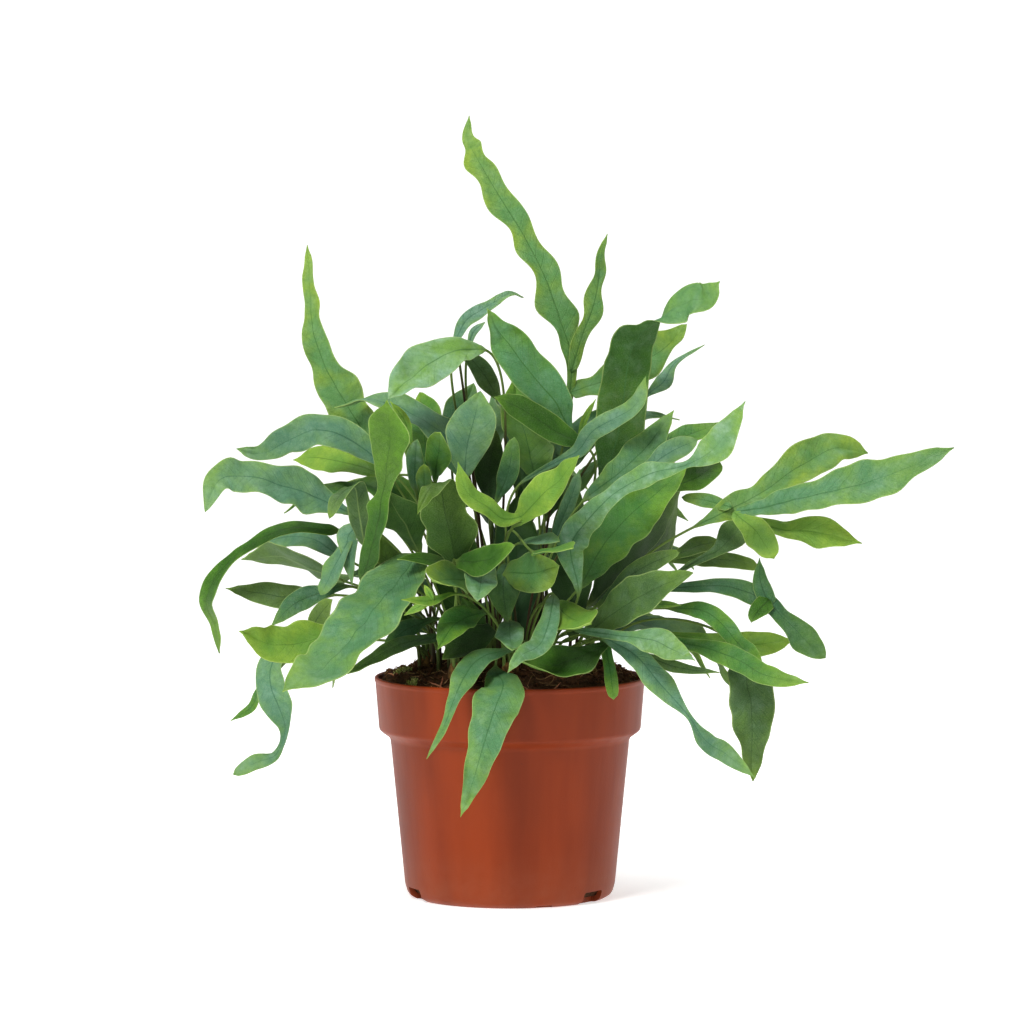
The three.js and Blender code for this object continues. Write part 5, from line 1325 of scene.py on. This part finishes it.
def add_crumb(skin, x, y, z, size):
    """One irregular crumb, from a ball that is turned, stretched and roughened."""
    start = len(skin.verts)
    bm = bmesh.new()
    bmesh.ops.create_icosphere(bm, subdivisions=1 if size < LARGE_CRUMB else 2, radius=1)
    turn = Matrix.Rotation(draw.uniform(0, 6), 3, (draw.uniform(-1, 1), draw.uniform(-1, 1), 1))
    stretch = Vector((draw.uniform(0.7, 1.5), draw.uniform(0.6, 1.1), draw.uniform(0.45, 0.8)))
    offset = Vector((x, y, 10 * size))
    for v in bm.verts:
        rough = 1 + ROUGHNESS * noise.noise(v.co * 1.7 + offset)
        p = turn @ Vector(a * b for a, b in zip(v.co * rough, stretch)) * size
        skin.verts.append(((x + p.x) * MM, (y + p.y) * MM, (z + p.z) * MM))
    for face in bm.faces:
        skin.add_face([start + v.index for v in face.verts])
    bm.free()


def lying_strand(x, y, heading, length, lift, bend):
    """A strand that lies on the soil, with its ends up by lift."""
    path = []
    for k in range(STRAND_STEPS + 1):
        t = k / STRAND_STEPS
        turn = heading + bend * (t - 0.5)
        px, py = x + length * (t - 0.5) * math.cos(turn), y + length * (t - 0.5) * math.sin(turn)
        reach = math.hypot(px, py)
        limit = SOIL_EDGE - STRAND_MARGIN
        if reach > limit:
            px, py = px * limit / reach, py * limit / reach
        rise = 0.35 + lift * abs(2 * t - 1) ** 2 + 0.3 * math.sin(9 * t + x)
        path.append(np.array([px, py, soil_top(px, py) + rise]))
    return path


def add_shoot(skin, cx, cy, size):
    """One shoot of a domed tuft of moss."""
    angle, out = draw.uniform(0, 2 * math.pi), size * math.sqrt(draw.random())
    x, y = cx + out * math.cos(angle), cy + out * math.sin(angle)
    dome = TUFT_HEIGHT * (1 - (out / size) ** 2) * size / TUFT_SPREAD
    z = soil_top(x, y) + dome
    lean = np.array([draw.uniform(-1, 1), draw.uniform(-1, 1), draw.uniform(0.7, 1.6)])
    top = np.array([x, y, z]) + unit(lean) * draw.uniform(1.2, 2.6)
    path = [np.array([x, y, z - dome - 0.4]), np.array([x, y, z]), top]
    skin.add_strand(path, draw.uniform(0.22, 0.4), 4, draw.choice((0, 1)))


wall = [(r - GAP, z + (GAP if i == 0 else GAP / 2)) for i, (r, z) in enumerate(reversed(inside[1:]))]
rings = int(SOIL_EDGE / SOIL_STEP)
surface = [(SOIL_EDGE * (1 - k / rings), None) for k in range(rings)]
soil = lathe([*wall, *surface], SOIL_SECTORS, soil_level)
keep(soil.make("fern_soil", earth_material("peat", "#3a2616", "#664429", 1.0)), "soil", "soil")

crumbs = Skin()
for _ in range(CRUMB_COUNT):
    x, y = on_soil(0.985)
    size = CRUMB_SIZE + CRUMB_EXTRA * draw.random() ** 3
    add_crumb(crumbs, x, y, soil_top(x, y) + size / 4, size)
peat_crumb = earth_material("peat_crumb", "#45291a", "#7a5232", 1.6)
keep(crumbs.make("fern_peat_crumbs", peat_crumb), "soil")

fibres = Skin()
for _ in range(FIBRE_COUNT):
    x, y = on_soil(0.96)
    heading, length = draw.uniform(0, 6.3), draw.uniform(3, 15)
    lift, bend = draw.uniform(0, 2.2), draw.uniform(-1.6, 1.6)
    path = lying_strand(x, y, heading, length, lift, bend)
    fibres.add_strand(path, draw.uniform(0.09, 0.26), 4, draw.choice((0, 0, 1)))
for root in ROOTS:
    fibres.add_strand(lying_strand(*root, ROOT_BEND), ROOT_RADIUS, 6, 2)
dark_fibre = strand_material("dark_fibre", "#4a3020", "#705036")
pale_fibre = strand_material("pale_fibre", "#8a6848", "#b8956a")
root_strand = strand_material("root_strand", "#94563c", "#c48a6a")
keep(fibres.make("fern_peat_fibres", dark_fibre, pale_fibre, root_strand), "soil")

moss = Skin()
for x, y, size, count in TUFTS:
    for _ in range(count):
        add_shoot(moss, x, y, size)
moss_dark = strand_material("moss_dark", "#6c7636", "#939a4c")
moss_light = strand_material("moss_light", "#a4aa5e", "#d2cf92")
keep(moss.make("fern_moss", moss_dark, moss_light), "soil")

# ---- Floor, light and camera, in metres ----

FLOOR_CORNERS = [(-2.2, -2.2, 0), (2.2, -2.2, 0), (2.2, 1.5, 0), (-2.2, 1.5, 0)]
# Name, place, the height that it is aimed at, diameter and power.
LAMPS = (
    ("key", (-1.0, -1.7, 2.1), 0.15, 0.9, 47),
    ("fill", (1.7, -1.5, 0.9), 0.15, 1.5, 2.5),
    ("top", (0.1, 0.5, 2.1), 0.1, 1.4, 18))
# The surroundings are white up to the first height and dim from the second: heights, strengths.
WHITE_BAND = (0.11, 0.2, 1.0, 0.12)
LENS = 199
SENSOR = 36
CLIP_END = 30
AIM = Vector((0.0009, 0, 0.1709))
EXPOSURE = 0.22
GAMMA = 0.88


def aim(holder, place, target):
    holder.location = place
    holder.rotation_euler = (target - Vector(place)).to_track_quat("-Z", "Y").to_euler()


mesh = bpy.data.meshes.new("studio_floor")
mesh.from_pydata(FLOOR_CORNERS, [], [(0, 1, 2, 3)])
mesh.materials.append(floor_material())
floor = placed("studio_floor", mesh)

for name, place, height, size, power in LAMPS:
    lamp = bpy.data.lights.new(name, "AREA")
    lamp.shape = "DISK"
    lamp.size = size
    lamp.energy = power
    holder = placed(name, lamp)
    aim(holder, place, Vector((0, 0, height)))

world = bpy.data.worlds.new("studio")
world.use_nodes = True
nodes, links = world.node_tree.nodes, world.node_tree.links
heading = nodes.new("ShaderNodeTexCoord")
split = nodes.new("ShaderNodeSeparateXYZ")
level = nodes.new("ShaderNodeMapRange")
level.interpolation_type = "SMOOTHSTEP"
for socket, value in zip(level.inputs[1:5], WHITE_BAND):
    socket.default_value = value
links.new(heading.outputs["Generated"], split.inputs[0])
links.new(split.outputs[2], level.inputs[0])
links.new(level.outputs[0], nodes["Background"].inputs["Strength"])
nodes["Background"].inputs["Color"].default_value = (1, 1, 1, 1)
bpy.context.scene.world = world

camera_data = bpy.data.cameras.new("camera")
camera_data.lens = LENS
camera_data.sensor_width = SENSOR
camera_data.clip_end = CLIP_END
camera = placed("camera", camera_data)
aim(camera, EYE * MM, AIM)
bpy.context.scene.camera = camera
bpy.context.scene.view_settings.view_transform = "Standard"
bpy.context.scene.view_settings.exposure = EXPOSURE
bpy.context.scene.view_settings.gamma = GAMMA
